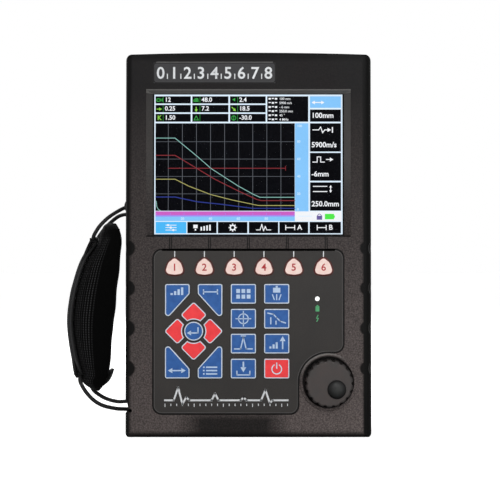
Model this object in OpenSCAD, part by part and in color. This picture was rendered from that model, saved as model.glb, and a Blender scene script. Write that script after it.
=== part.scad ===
/* [Case] */
// Width of the case, side to side
case_w = 170; // [168:1:190]
// Height of the case to the crown of its top
case_h = 265.5; // [262:0.5:290]
// Depth of the case, front face to rear face
case_d = 61; // [60:1:75]
// Thickness of the housing walls
wall = 3; // [2.5:0.5:4]
// Rise of the arched top over its corners
top_rise = 1.5; // [0.5:0.5:3]
// Radius of the top corners, seen from the front
top_r = 4.5; // [3.5:0.5:8]
// Radius of the bottom corners, seen from the front
foot_r = 3.5; // [3:0.5:8]
// Radius along the front side edges
side_r = 5; // [4:0.5:6]
// Radius along the rear side edges
rear_r = 8; // [5:0.5:8]
// Radius along the upper and lower edges of the front face
lip_r = 2.5; // [2:0.5:4]
// Thickness of the seal between the housings
seal_t = 1.2; // [0.8:0.2:2]
// How far the seal stays inside the outer surface
seal_inset = 0.8; // [0.4:0.2:1.6]
// Radius of the finger scoops on the front side edges
scoop_r = 7.5; // [6:0.5:9]
// How deep each finger scoop bites from its front edge
scoop_bite = 2.4; // [1.6:0.2:3]
// Spacing of the finger scoops
scoop_pitch = 27.6; // [24:0.2:30]
// Height of the lowest full finger scoop
scoop_z = 47.4; // [44:0.2:52]

/* [Screen] */
// Width of the housing's face beside the lit area of the screen
screen_side = 19.8; // [18:0.1:23]
// Height of the lit area of the screen
screen_h = 97; // [92:0.5:100]
// Height of the lower edge of the lit area
screen_z = 139.8; // [138:0.2:142]
// Width of the sloped bevel at each side of the screen
bevel_side = 5.6; // [3:0.2:6]
// Height of the sloped bevel above the screen
bevel_top = 2.4; // [1:0.2:4]
// Height of the sloped bevel under the screen
bevel_low = 1.9; // [1:0.2:3]
// Depth of the screen under the front face
bevel_depth = 3.4; // [2.5:0.1:4.5]
// Thickness of the protective window
window_t = 2; // [1.5:0.5:3]
// How far the window reaches behind its frame all round
window_lap = 3; // [2:0.5:4]
// Thickness of the display panel
display_t = 5.5; // [4:0.5:8]
// Thickness of the sheet metal display bracket
bracket_t = 1.2; // [0.8:0.2:2]
// Wall of the frame that holds the window
frame_rim = 3; // [2:0.5:4]

/* [Name plate and grooves] */
// Width of the name plate
plate_w = 84; // [70:1:90]
// Height of the name plate
plate_h = 14; // [10:0.5:15]
// Thickness of the name plate
plate_t = 0.8; // [0.5:0.1:1.2]
// Sideways place of the name plate's middle
plate_x = -23.4; // [-30:0.2:-20]
// Distance of the name plate's middle under the crown
plate_drop = 14.2; // [13.5:0.1:15.5]
// Number of groove pairs between screen and keypad
groove_count = 5; // [3:1:7]
// Spacing of the groove pairs
groove_pitch = 26.8; // [20:0.2:28]
// Width of one groove
groove_w = 0.5; // [0.3:0.1:0.8]
// Depth of one groove
groove_depth = 0.5; // [0.3:0.1:0.8]

/* [Keypad] */
// Half width of the keypad panel
pad_half_w = 65.7; // [64:0.1:68]
// Height of the keypad panel's lower edge
pad_low_z = 16.1; // [14:0.1:18]
// Height of the keypad panel's upper edge
pad_top_z = 129.4; // [128:0.1:131]
// Corner radius of the keypad panel
pad_r = 6; // [4:0.5:8]
// Thickness of the keypad panel
pad_t = 1.2; // [0.8:0.1:1.5]
// Groove round the keypad panel
pad_groove = 0.5; // [0.3:0.1:0.8]
// How far the keys stand out of the panel
key_proud = 1.2; // [0.8:0.1:2]
// Travel of each key
key_travel = 0.8; // [0.5:0.1:1]
// Clearance round each key
key_gap = 0.2; // [0.15:0.05:0.25]
// Lip behind the wall that keeps each key in
key_flange = 0.55; // [0.45:0.05:0.6]
// Width of a rectangular key
block_w = 17.3; // [15:0.1:18]
// Height of a rectangular key
block_h = 13.5; // [12:0.1:14]
// Corner radius of a rectangular key
block_r = 1.2; // [0.8:0.1:2]
// Spacing of the two columns of rectangular keys
block_pitch_x = 22.9; // [21:0.1:24]
// Spacing of the rows of rectangular keys
block_pitch_z = 17.1; // [16:0.1:17.6]
// Sideways place of the middle between the two columns
block_x = 8; // [6:0.1:9]
// Height of the middle of the key rows
rows_z = 73.1; // [72:0.1:74]
// Spacing of the soft keys under the screen
soft_pitch = 20.5; // [19:0.1:21]
// Height of the middle of the soft keys
soft_z = 117.4; // [117:0.1:118]
// Width of a soft key
soft_w = 12.7; // [10:0.1:13]
// Height of a soft key
soft_h = 12.4; // [10:0.1:12.6]
// Sideways place of the arrow cluster
cluster_x = -37.6; // [-39:0.1:-37]
// Distance from the cluster's middle to an arrow key
arrow_off = 11; // [10.8:0.1:11.6]
// Side of an arrow key
arrow_side = 12.4; // [11:0.1:12.6]
// Corner radius of an arrow key
arrow_r = 2.4; // [1.5:0.1:3]
// Radius of the bite that the centre key takes from each arrow key
bite_r = 8; // [7.9:0.1:8.4]
// Radius of the centre key
enter_r = 6.5; // [5.5:0.1:6.6]
// Radius of the charge lamp
lamp_r = 1.5; // [1:0.1:2]

/* [Knob] */
// Sideways place of the knob
knob_x = 55; // [54:0.1:56]
// Height of the knob's axis
knob_z = 37.9; // [37:0.1:39]
// Radius of the knob
knob_r = 16.2; // [14:0.1:16.6]
// How far the knob stands out of the front face
knob_proud = 9; // [6:0.5:12]
// Radius of the well round the knob
well_r = 17.7; // [17.3:0.1:18.2]
// Depth of the well
well_depth = 2.5; // [1.5:0.1:3]
// Width of the raised ring round the well
ring_w = 2; // [1:0.1:2.2]
// Height of the raised ring
ring_h = 0.8; // [0.4:0.1:1.2]
// Number of flutes round the knob
flute_count = 18; // [12:1:24]
// Radius of one flute
flute_r = 1.5; // [1:0.1:2]
// Radius of the finger button on the knob
spinner_r = 6.3; // [5:0.1:6.5]
// Distance from the knob's axis to the finger button
spinner_off = 6.5; // [6:0.1:7]
// Height of the finger button's dome
spinner_dome = 2.5; // [1.5:0.1:3]
// Radius of the encoder shaft
shaft_r = 3; // [2.5:0.1:3.2]

/* [Hand strap] */
// How far the strap bows out from the side of the case
strap_reach = 42.1; // [40:0.1:46]
// Width of the webbing
webbing_w = 20; // [16:1:20]
// Thickness of the doubled webbing
webbing_t = 3.2; // [2:0.2:3.2]
// Half of the pad's width at its middle
pad_wing = 27; // [24:0.5:29]
// Thickness of the pad at its middle
cushion_t = 7; // [5:0.5:8]
// Thickness of the pad along its edges
cushion_edge = 3.4; // [2.6:0.2:4]
// Diameter of the strap cord
cord_d = 2; // [1.6:0.1:2]
// Radius of the strap pins
pin_r = 1.5; // [1.2:0.1:1.5]
// Height of the lower strap pin
pin_low_z = 18.4; // [18:0.1:19]
// Height of the upper strap pin
pin_top_z = 157.4; // [157:0.1:158]

/* [Rear] */
// Half width of the stand
stand_half_w = 45; // [38:1:47]
// Height of the stand's hinge axis
stand_z = 192; // [188:1:200]
// Length of the stand from its axis to its foot
stand_l = 80; // [65:1:84]
// Thickness of the stand
stand_t = 3.6; // [3:0.2:4]
// Radius of the stand's hinge barrel
stand_barrel_r = 2.6; // [2.4:0.1:2.8]
// Half width of the battery door
door_half_w = 52; // [48:1:54]
// Height of the battery door's hinge axis
door_z = 96.2; // [94:0.2:98]
// Height of the battery door's lower edge
door_low_z = 9.5; // [9:0.5:10]
// Thickness of the battery door
door_t = 4; // [3.6:0.2:4.4]
// Radius of the quarter turn screw's head
coin_r = 5; // [4:0.5:5.5]
// Radius of the rubber feet on the rear
foot_pad_r = 5; // [4:0.5:6]
// Thickness of the rubber feet on the rear
foot_pad_t = 2.5; // [1.5:0.5:3]
// Radius of the housing screws
screw_r = 1.5; // [1.2:0.1:1.6]

/* [Sockets] */
// Outer radius of a probe socket's barrel
probe_r = 4.8; // [4:0.1:5]
// Length of a probe socket's barrel over its flange
probe_l = 9; // [8:0.5:9.5]
// Spacing of the two probe sockets
probe_pitch = 28; // [24:1:30]
// Depth of the socket bay under the crown
bay_depth = 15; // [14:0.5:18]
// Radius of the charge socket's bore
charge_r = 2.75; // [2:0.05:3]
// Width of the port cover, front to rear
cover_w = 15; // [13:0.5:16]
// Height of the port cover
cover_h = 34; // [32:1:38]
// Thickness of the port cover
cover_t = 2; // [1.6:0.2:2.4]
// Height of the port cover's hinge axis
cover_z = 210; // [200:1:215]

/* [Hidden] */
$fn = 48;

// Cuts run past the faces they open by this much
over = 1;
// Running clearance of pins and shafts, measured on the radius
run = 0.05;
// Clearance between fixed pieces that are slipped together
slip = 0.15;
// Gap between soft pieces and what they lie against
soft_gap = 0.3;
// Smallest radius inside the cavity
inner_r = 1;
// The side profile stays this far over the crown, which the front outline alone shapes
crown_room = 0.3;
arc_fn = 720;
board_t = 1.6;
// A slanted edge lies this far inside the arcs that it joins, so that they cross it cleanly
edge_sink = 0.002;

// Planes from front to rear
front_y = -case_d / 2;
rear_y = case_d / 2;
inner_front_y = front_y + wall;
inner_rear_y = rear_y - wall;
window_y = front_y + bevel_depth;
display_y = window_y + window_t;
bracket_y = display_y + display_t;
standoff_l = 4.4;
main_y = bracket_y + bracket_t + standoff_l;
pad_floor_y = front_y + pad_t;
flange_t = 1;
key_play = 0.05;
flange_y = inner_front_y + key_play;
key_rest = 0.2;
keyboard_y = flange_y + flange_t + key_travel + key_rest;
split_front_y = -seal_t / 2;
split_rear_y = seal_t / 2;

// Screen and its frame
screen_w = case_w - 2 * screen_side;
plate_z = case_h - plate_drop;
screen_mid_z = screen_z + screen_h / 2;
bevel_w = screen_w + 2 * bevel_side;
window_w = screen_w + 2 * window_lap;
window_h = screen_h + 2 * window_lap;
frame_w = window_w + 2 * frame_rim;
frame_h = window_h + 2 * frame_rim;
bracket_lap = 2;

// Knob, encoder and their well
well_floor_y = front_y + well_depth;
well_floor_t = 3;
encoder_y = well_floor_y + well_floor_t;
encoder_w = 13;
encoder_t = 7;
bushing_r = 4.4;
bushing_proud = 1.5;
knob_lift = 0.5;
knob_back_y = well_floor_y - knob_lift;
knob_front_y = front_y - knob_proud;
knob_chamfer = 0.6;
knob_socket_r = 6.5;
knob_socket_depth = 2;
shaft_top = 2.5;
shaft_low = 5;
flute_bite = 1.1;
spinner_seat = 1;
spinner_pin_r = 2;
spinner_pin_l = 4;
spinner_angle = -38.8;
spinner_x = knob_x + spinner_off * cos(spinner_angle);
spinner_z = knob_z + spinner_off * sin(spinner_angle);
ring_slope = 0.5;
arc_gap = 2.7;
pad_arc_r = well_r + arc_gap;

// Screws that hold the housings together
boss_r = 4;
screw_in = 9;
screw_head_r = 2.8;
screw_head_t = 2.4;
screw_sink = 6;
screw_l = 30;
screw_shares = [0.14, 0.5, 0.94];
screw_x = case_w / 2 - screw_in;
function screw_height(i) = case_h * screw_shares[i];

// Posts that carry the boards
post_r = 3;
post_bore_r = 1.2;
board_margin = 8;
board_room = 0.8;
board_low_z = 44;
board_top_z = screen_z + screen_h - bevel_top;
post_x = case_w / 2 - wall - board_margin - post_r;
post_z = board_low_z + 2 * post_r;
standoff_in = 12;

// Battery bay, door and its screw
door_gap = 0.3;
door_floor_y = rear_y - door_t - 2 * door_gap;
door_y = rear_y - door_gap - door_t / 2;
door_top_y = rear_y - door_gap;
door_barrel_r = door_t / 2;
door_pin_r = 1.2;
door_pin_l = 4;
bay_wall = 2;
ledge = 3;
tub_low_z = 22;
tub_top_z = door_z - door_barrel_r - ledge;
tub_floor_y = 5;
tub_half_w = door_half_w - ledge;
battery_gap = 0.4;
coin_z = door_low_z + coin_r + 1.5 * door_gap + ledge / 2;
coin_t = 2;
coin_shank_r = 2;
coin_bite = 3;
coin_room = 0.4;
coin_slot = 1.2;
contact_w = 6;
contact_h = 12;
contact_x = 14;

// Stand and its recess
stand_gap = 0.4;
stand_axis_y = rear_y - stand_gap - stand_barrel_r;
stand_floor_y = stand_axis_y - stand_barrel_r - stand_gap;
stand_back_t = 2.5;
stand_pin_grip = 4;
stand_r = 6;
stand_window_in = 14;
stand_pull_r = 9;

// Sockets at the top and at the side
bay_floor_z = case_h - bay_depth;
bay_end = 14;
bay_half_w = probe_pitch / 2 + bay_end;
bay_x = 41;
bay_y = 9;
bay_rim = 2.5;
probe_y = (bay_y + rear_y) / 2;
probe_flange_r = 6.5;
probe_flange_t = 2;
probe_stub = 6;
probe_nut_t = 2;
probe_bore_r = 3.6;
probe_stub_r = 4.2;
probe_pin_r = 0.7;
cover_y = 12.5;
cover_gap = 0.3;
cover_barrel_r = cover_t / 2;
cover_axis_x = case_w / 2 - cover_gap - cover_barrel_r;
cover_floor_x = cover_axis_x - cover_barrel_r - cover_gap;
cover_pin_r = 0.6;
side_back_t = 2.6;
charge_z = cover_z - cover_h * 0.3;
data_z = cover_z - cover_h * 0.72;
charge_body = 9;
charge_l = 12;
charge_pin_r = 1;
data_w = 3.4;
data_h = 9.2;
data_shell = 0.6;
data_l = 9;

// Strap anchors in the left side
pin_in = 3.6;
pin_x = pin_in - case_w / 2;
anchor_half_y = 11.5;
anchor_half_z = 6;
anchor_depth = 8.6;
anchor_wall = 2.6;
pin_grip = 3;
ear_r = 6.2;
ear_rise = 2.6;
ear_out = 2.4;
notch_r = 6.5;
notch_bite = 2;
notch_rise = 2.6;
pin_hole_r = 1.4;

// Bow of the webbing, top to bottom: share of its reach, share of the way up between the pins
bow_shares = [
    [0.4, 0.931], [0.5, 0.881], [0.684, 0.79], [0.798, 0.724], [0.888, 0.639], [0.95, 0.56],
    [0.995, 0.437], [0.955, 0.312], [0.868, 0.192], [0.755, 0.12], [0.555, 0.075]
];
bow_steps = 4;
fold_r = 2.9;
fold_bore_r = 1.3;
tail_t = 1.5;
tail_shares = [[0.53, 0.085], [0.29, 0.18]];

// Pad on the webbing: share of its height, share of its half width
wing_shares = [[0, 0.34], [0.03, 0.56], [0.1, 0.78], [0.22, 0.94], [0.5, 1], [0.78, 0.95],
    [0.9, 0.82], [0.97, 0.6], [1, 0.38]];
// Free edges of the pad: share of its height, share of the strap's reach
edge_shares = [[0, 0.53], [0.03, 0.46], [0.06, 0.35], [0.1, 0.29], [0.18, 0.25], [0.34, 0.195], [0.5, 0.14],
    [0.68, 0.09], [0.8, 0.06], [0.9, 0.052], [0.96, 0.09], [1, 0.19]];
cushion_low_z = 34.5;
cushion_top_z = 144.3;
cushion_stations = 24;
cushion_arc = 18;

// Routes of the strap cords, from their pins: round the pin, out to the fold, through it and back
cord_top_route = [
    [2.8, 0, 0.2], [1.8, -0.7, 2.2], [-0.8, -1.4, 2.8], [-6.5, -3.2, 2.4], [-14, -8, -1.4],
    [-18.6, -11.7, -6.2], [-20.4, -11.9, -8.6], [-20.8, -10.4, -9.6], [-20.8, -5, -9.6], [-20.8, 0, -9.6],
    [-20.8, 5, -9.6], [-20.8, 10.4, -9.6], [-20.4, 11.9, -9.4], [-18.6, 11.7, -8.4], [-13.2, 8, -4.4],
    [-7.5, 4, -2.7], [-0.8, 1.4, -2.8], [1.9, 0.7, -2]
];
cord_low_route = [
    [2.8, 0, 0], [1.9, -0.7, -2], [-0.8, -1.4, -2.8], [-6.5, -3.6, -2.6], [-14, -7.4, -0.6],
    [-21, -11.2, 3.8], [-25.2, -12, 8.4], [-26.6, -10.6, 10.4], [-26.6, -5, 10.4], [-26.6, 0, 10.4],
    [-26.6, 5, 10.4], [-26.6, 10.6, 10.4], [-25.2, 12, 9.8], [-20.2, 11.6, 6.6], [-13, 7.6, 3.6],
    [-6.5, 3.6, 2.8], [-0.8, 1.4, 2.8], [1.9, 0.7, 2]
];
cord_sides = 8;
cord_reference = [0, -1, 1];

// Plane geometry: corners are circles, each given as x, y and radius, anticlockwise
function unit(v) = v / norm(v);
function tangent_normal(a, b) =
    let (d = [b[0] - a[0], b[1] - a[1]], n = norm(d), u = d / n, lean = (a[2] - b[2]) / n)
    lean * u + sqrt(1 - lean * lean) * [u[1], -u[0]];
function grown_corners(c, grow) = [for (p = c) [p[0], p[1], p[2] + grow]];
function edge_points(c) = [
    for (i = [0 : len(c) - 1])
        let (a = c[i], b = c[(i + 1) % len(c)], n = tangent_normal(a, b))
        each [[a[0] + a[2] * n[0], a[1] + a[2] * n[1]], [b[0] + b[2] * n[0], b[1] + b[2] * n[1]]]
];
function box_corners(w, h, r) = [
    [r[0] - w / 2, r[0] - h / 2, r[0]], [w / 2 - r[1], r[1] - h / 2, r[1]],
    [w / 2 - r[2], h / 2 - r[2], r[2]], [r[3] - w / 2, h / 2 - r[3], r[3]]
];
function alike(r) = [r, r, r, r];
function flipped(c, sx, sz) = [
    for (i = [0 : len(c) - 1])
        let (p = c[sx * sz > 0 ? i : len(c) - 1 - i])
        [sx * p[0], sz * p[1], p[2]]
];

module blob(corners, sink = 0) {
    polygon(edge_points(grown_corners(corners, -sink)));
    for (c = corners) translate([c[0], c[1]]) circle(c[2]);
}

module area(x0, x1, z0, z1) translate([x0, z0]) square([x1 - x0, z1 - z0]);

// Extrudes a drawing of the front, in x and z, from y0 back to y1
module deep(y0, y1) translate([0, y1, 0]) rotate([90, 0, 0]) linear_extrude(y1 - y0) children();

// Extrudes a drawing of the side, in y and z, from x0 to x1
module across(x0, x1) translate([x0, 0, 0]) rotate([90, 0, 90]) linear_extrude(x1 - x0) children();

// Gives the key outlines inside it their growth
module grown(g) {
    $grow = g;
    children();
}

// The case as a solid, drawn in from its surface by an inset
module front_outline(inset) {
    w = case_w - 2 * inset;
    h = case_h - 2 * inset;
    tr = max(top_r - inset, inner_r);
    br = max(foot_r - inset, inner_r);
    half_chord = w / 2 - tr;
    crown_r = half_chord * half_chord / (2 * top_rise) + top_rise / 2;
    translate([0, (case_h - top_rise) / 2]) blob(box_corners(w, h - top_rise, [br, br, tr, tr]));
    intersection() {
        translate([0, case_h - inset - crown_r]) circle(crown_r, $fn = arc_fn);
        area(-half_chord, half_chord, case_h - inset - 2 * top_rise, case_h - inset);
    }
}

module case_block(inset) {
    w = case_w - 2 * inset;
    d = case_d - 2 * inset;
    h = case_h - 2 * inset + crown_room;
    fr = max(side_r - inset, inner_r);
    rr = max(rear_r - inset, inner_r);
    lr = max(lip_r - inset, inner_r);
    intersection() {
        translate([0, 0, -over]) linear_extrude(case_h + 2 * over) blob(box_corners(w, d, [fr, fr, rr, rr]));
        deep(front_y - over, rear_y + over) front_outline(inset);
        across(-case_w / 2 - over, case_w / 2 + over)
            translate([0, inset + h / 2]) blob(box_corners(d, h, [lr, lr, rr, lr]));
    }
}

module front_half() intersection() {
    children();
    deep(front_y - over, split_front_y) area(-case_w, case_w, -over, case_h + over);
}

module rear_half() intersection() {
    children();
    deep(split_rear_y, rear_y + over) area(-case_w, case_w, -over, case_h + over);
}

// Blocks in the left side that hold the strap pins, and the slots in them
module anchor_sites() for (z = [pin_low_z, pin_top_z]) translate([-case_w / 2, 0, z]) children();

module anchor_blocks() anchor_sites()
    translate([0, -anchor_half_y - pin_grip - anchor_wall, -anchor_half_z - anchor_wall])
    cube([anchor_depth + anchor_wall, 2 * (anchor_half_y + pin_grip + anchor_wall),
        2 * (anchor_half_z + anchor_wall)]);

module anchor_ears() translate([ear_r - ear_out - case_w / 2, 0, pin_top_z + ear_rise])
    rotate([90, 0, 0]) cylinder(r = ear_r, h = 2 * (anchor_half_y + pin_grip), center = true);

module anchor_slots() anchor_sites()
    translate([-ear_r, -anchor_half_y, -anchor_half_z])
    cube([anchor_depth + ear_r, 2 * anchor_half_y, 2 * anchor_half_z]);

module pin_bores() for (z = [pin_low_z, pin_top_z]) translate([pin_x, 0, z])
    rotate([90, 0, 0]) cylinder(r = pin_r + run, h = 2 * (anchor_half_y + pin_grip), center = true);

module cord_notch() {
    deep(front_y - over, -anchor_half_y + over)
        translate([-case_w / 2 - notch_r + notch_bite, pin_low_z + notch_rise]) circle(notch_r);
    deep(front_y - over, -anchor_half_y) translate([pin_x, pin_low_z]) circle(pin_hole_r);
}

module finger_scoops() for (side = [-1, 1], i = [0 : 3])
    translate([side * (case_w / 2 + scoop_r - scoop_bite), front_y, scoop_z + i * scoop_pitch])
    sphere(scoop_r);

// Front housing
module bevel_cut() intersection() {
    across(-case_w, case_w) polygon([
        [front_y - over, screen_z - bevel_low * (1 + over / bevel_depth)],
        [window_y, screen_z],
        [window_y, screen_z + screen_h],
        [front_y - over, screen_z + screen_h + bevel_top * (1 + over / bevel_depth)]
    ]);
    translate([0, 0, -over]) linear_extrude(case_h + 2 * over) polygon([
        [-screen_w / 2 - bevel_side * (1 + over / bevel_depth), front_y - over],
        [screen_w / 2 + bevel_side * (1 + over / bevel_depth), front_y - over],
        [screen_w / 2, window_y],
        [-screen_w / 2, window_y]
    ]);
}

module screen_area(w, h) translate([0, screen_mid_z]) square([w, h], center = true);

module groove_lines() for (i = [0 : groove_count - 1], side = [-1, 1])
    translate([(i - (groove_count - 1) / 2) * groove_pitch + side * groove_w, 0])
    area(-groove_w / 2, groove_w / 2, pad_top_z, screen_z);

module front_housing() color("#34353a") difference() {
    union() {
        front_half() difference() {
            union() {
                case_block(0);
                anchor_ears();
            }
            case_block(wall);
        }
        front_half() anchor_blocks();
        deep(inner_front_y - over, bracket_y) screen_area(frame_w, frame_h);
        deep(well_floor_y, encoder_y) translate([knob_x, knob_z]) circle(well_r + ring_w);
        for (side = [-1, 1], i = [0 : 2]) deep(inner_front_y - over, split_front_y)
            translate([side * screw_x, screw_height(i)]) circle(boss_r);
        for (side = [-1, 1]) deep(inner_front_y - over, main_y) translate([side * post_x, post_z]) circle(post_r);
        knob_ring();
    }
    bevel_cut();
    deep(window_y - over, window_y + over) screen_area(screen_w, screen_h);
    deep(window_y, bracket_y + over) screen_area(window_w, window_h);
    deep(front_y - over, front_y + plate_t) translate([plate_x, plate_z])
        square([plate_w + 2 * slip, plate_h + 2 * slip], center = true);
    deep(front_y - over, front_y + groove_depth) groove_lines();
    deep(front_y - over, pad_floor_y) grown(pad_groove) pad_outline();
    deep(front_y - over, inner_front_y + over) grown(key_gap) key_outlines();
    deep(front_y - over, inner_front_y + over) translate([lamp_x, lamp_z]) circle(lamp_r + slip);
    deep(front_y - ring_h - over, well_floor_y) translate([knob_x, knob_z]) circle(well_r);
    deep(well_floor_y - over, encoder_y + over) translate([knob_x, knob_z]) circle(bushing_r + slip);
    for (side = [-1, 1], i = [0 : 2]) deep(split_front_y - screw_bite, split_front_y + over)
        translate([side * screw_x, screw_height(i)]) circle(screw_r + run);
    for (side = [-1, 1]) deep(main_y - 2 * post_r, main_y + over)
        translate([side * post_x, post_z]) circle(post_bore_r);
    finger_scoops();
    anchor_slots();
    pin_bores();
    cord_notch();
}
screw_bite = 12;

module knob_ring() translate([knob_x, front_y, knob_z]) rotate([90, 0, 0]) rotate_extrude() polygon([
    [well_r, -over],
    [well_r + ring_w, -over],
    [well_r + ring_w, 0],
    [well_r + ring_w - ring_slope, ring_h],
    [well_r, ring_h]
]);

// Seal between the housings
module housing_seal() color("#1b1b1d") difference() {
    deep(split_front_y, split_rear_y) difference() {
        union() {
            difference() {
                front_outline(seal_inset);
                front_outline(wall);
            }
            for (z = [pin_low_z, pin_top_z])
                translate([-case_w / 2, z]) area(seal_inset, anchor_depth + anchor_wall,
                    -anchor_half_z - anchor_wall, anchor_half_z + anchor_wall);
        }
        for (z = [pin_low_z, pin_top_z]) translate([-case_w / 2, z])
            area(-over, anchor_depth, -anchor_half_z, anchor_half_z);
    }
}

// Screen stack
module screen_window() color("#9fb4c8", 0.35)
    deep(window_y, display_y) screen_area(window_w - 2 * slip, window_h - 2 * slip);

module display_panel() color("#6fb2f0")
    deep(display_y, bracket_y) screen_area(window_w - 2 * slip, window_h - 2 * slip);

module bracket_standoffs(r, y0, y1) for (side = [-1, 1], z = [screen_z + standoff_in, board_top_z - standoff_in])
    deep(y0, y1) translate([side * (frame_w / 2 - standoff_in), z]) circle(r);

module display_bracket() color("#b9bcc0") difference() {
    union() {
        deep(bracket_y, bracket_y + bracket_t) screen_area(frame_w, frame_h);
        bracket_standoffs(post_r, bracket_y, main_y);
    }
    deep(bracket_y - over, bracket_y + bracket_t + over)
        screen_area(frame_w - 4 * standoff_in, frame_h - 4 * standoff_in);
    bracket_standoffs(post_bore_r, bracket_y + bracket_t, main_y + over);
}

module name_plate() color("#26272b")
    deep(front_y, front_y + plate_t) translate([plate_x, plate_z]) square([plate_w, plate_h], center = true);

// Keypad: panel outline and key outlines all grow by $grow
pad_step_z = knob_z + pad_arc_r;
pad_step_x = knob_x - pad_arc_r;

module pad_outline() {
    g = $grow;
    upper = [
        [-pad_half_w + pad_r, pad_step_z + pad_r, pad_r + g], [pad_half_w - pad_r, pad_step_z + pad_r, pad_r + g],
        [pad_half_w - pad_r, pad_top_z - pad_r, pad_r + g], [-pad_half_w + pad_r, pad_top_z - pad_r, pad_r + g]
    ];
    left = [
        [-pad_half_w + pad_r, pad_low_z + pad_r, pad_r + g], [pad_step_x - pad_r, pad_low_z + pad_r, pad_r + g],
        [pad_step_x - pad_r, pad_top_z - pad_r, pad_r + g], [-pad_half_w + pad_r, pad_top_z - pad_r, pad_r + g]
    ];
    blob(upper);
    blob(left);
    difference() {
        area(pad_step_x - pad_r, knob_x, knob_z, pad_step_z + pad_r);
        translate([knob_x, knob_z]) circle(pad_arc_r - g);
    }
}

lamp_x = 47.5;
lamp_z = 95.3;
soft_x = 0.45;
soft_tip_r = 1.1;
soft_belly_r = 3.9;
soft_corners = [
    [soft_belly_r - soft_w / 2, soft_belly_r - soft_h / 2, soft_belly_r],
    [soft_w / 2 - soft_belly_r, soft_belly_r - soft_h / 2, soft_belly_r],
    [0, soft_h / 2 - soft_tip_r, soft_tip_r]
];
corner_reach = 19.7;
corner_inner = 2.8;
corner_tip = 10.4;
corner_step = 8;
corner_r = 1.2;
corner_top = 1.5 * block_pitch_z + block_h / 2;
corner_points = [
    [corner_inner + corner_r, corner_top - corner_step + corner_r, corner_r],
    [corner_reach - corner_r, corner_tip + corner_r, corner_r],
    [corner_reach - corner_r, corner_top - corner_r, corner_r],
    [corner_inner + corner_r, corner_top - corner_r, corner_r]
];

module soft_outline(i) translate([soft_x + (i - 2.5) * soft_pitch, soft_z])
    blob(grown_corners(soft_corners, $grow), edge_sink);

module corner_outline(sx, sz) translate([cluster_x, rows_z])
    blob(grown_corners(flipped(corner_points, sx, sz), $grow), edge_sink);

module arrow_outline(ax, az) difference() {
    translate([cluster_x + ax * arrow_off, rows_z + az * arrow_off]) rotate(45)
        blob(grown_corners(box_corners(arrow_side, arrow_side, alike(arrow_r)), $grow));
    translate([cluster_x, rows_z]) circle(bite_r - $grow);
}

module enter_outline() translate([cluster_x, rows_z]) circle(enter_r + $grow);

module block_outline(column, row)
    translate([block_x + (column - 0.5) * block_pitch_x, rows_z + (1.5 - row) * block_pitch_z])
    blob(grown_corners(box_corners(block_w, block_h, alike(block_r)), $grow));

module key_outlines() {
    for (i = [0 : 5]) soft_outline(i);
    for (sx = [-1, 1], sz = [-1, 1]) corner_outline(sx, sz);
    arrow_outline(0, 1);
    arrow_outline(0, -1);
    arrow_outline(-1, 0);
    arrow_outline(1, 0);
    enter_outline();
    for (column = [0, 1], row = [0 : 3]) block_outline(column, row);
}

module key(shade) color(shade) {
    deep(front_y - key_proud, flange_y) grown(0) children();
    deep(flange_y, flange_y + flange_t) grown(key_flange) children();
}

red = "#e84048";
blue = "#2f5db0";
blush = "#fde4dc";

module key_f1() key(blush) soft_outline(0);
module key_f2() key(blush) soft_outline(1);
module key_f3() key(blush) soft_outline(2);
module key_f4() key(blush) soft_outline(3);
module key_f5() key(blush) soft_outline(4);
module key_f6() key(blush) soft_outline(5);
module key_gain() key(blue) corner_outline(-1, 1);
module key_gate() key(blue) corner_outline(1, 1);
module key_range() key(blue) corner_outline(-1, -1);
module key_menu() key(blue) corner_outline(1, -1);
module key_up() key(red) arrow_outline(0, 1);
module key_down() key(red) arrow_outline(0, -1);
module key_left() key(red) arrow_outline(-1, 0);
module key_right() key(red) arrow_outline(1, 0);
module key_enter() key(blue) enter_outline();
module key_channel() key(blue) block_outline(0, 0);
module key_probe() key(blue) block_outline(1, 0);
module key_calibrate() key(blue) block_outline(0, 1);
module key_curve() key(blue) block_outline(1, 1);
module key_peak() key(blue) block_outline(0, 2);
module key_auto_gain() key(blue) block_outline(1, 2);
module key_store() key(blue) block_outline(0, 3);
module key_power() key(red) block_outline(1, 3);

module keypad_panel() color("#2c2d31") difference() {
    deep(front_y, pad_floor_y) grown(0) pad_outline();
    deep(front_y - over, pad_floor_y + over) grown(key_gap) key_outlines();
    deep(front_y - over, pad_floor_y + over) translate([lamp_x, lamp_z]) circle(lamp_r + slip);
}

module charge_lamp() color("#f4f6f4") {
    deep(front_y, inner_front_y) translate([lamp_x, lamp_z]) circle(lamp_r);
    deep(inner_front_y, keyboard_y) translate([lamp_x, lamp_z]) circle(lamp_r + flange_t);
}

// Boards and what they carry
keyboard_edge = 4;

module keypad_board() color("#2f6b46") deep(keyboard_y, keyboard_y + board_t) {
    area(-pad_half_w + keyboard_edge, pad_step_x - keyboard_edge,
        rows_z - corner_top - keyboard_edge, pad_top_z - keyboard_edge);
    area(-pad_half_w + keyboard_edge, pad_half_w - keyboard_edge,
        lamp_z - 2 * keyboard_edge, pad_top_z - keyboard_edge);
}

module board_pegs() for (side = [-1, 1]) deep(keyboard_y + board_t, main_y)
    translate([side * (soft_x + 2 * soft_pitch), pad_top_z - 2 * keyboard_edge]) circle(post_r);

module main_board() color("#2f6b46") {
    difference() {
        deep(main_y, main_y + board_t) area(board_margin + wall - case_w / 2,
            case_w / 2 - wall - board_margin, board_low_z, board_top_z);
        for (side = [-1, 1]) deep(main_y - over, main_y + board_t + over)
            translate([side * post_x, post_z]) circle(post_bore_r);
        for (side = [-1, 1], i = [0 : 2]) deep(main_y - over, main_y + board_t + over)
            translate([side * screw_x, screw_height(i)]) circle(boss_r + board_room);
    }
    board_pegs();
}

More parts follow.
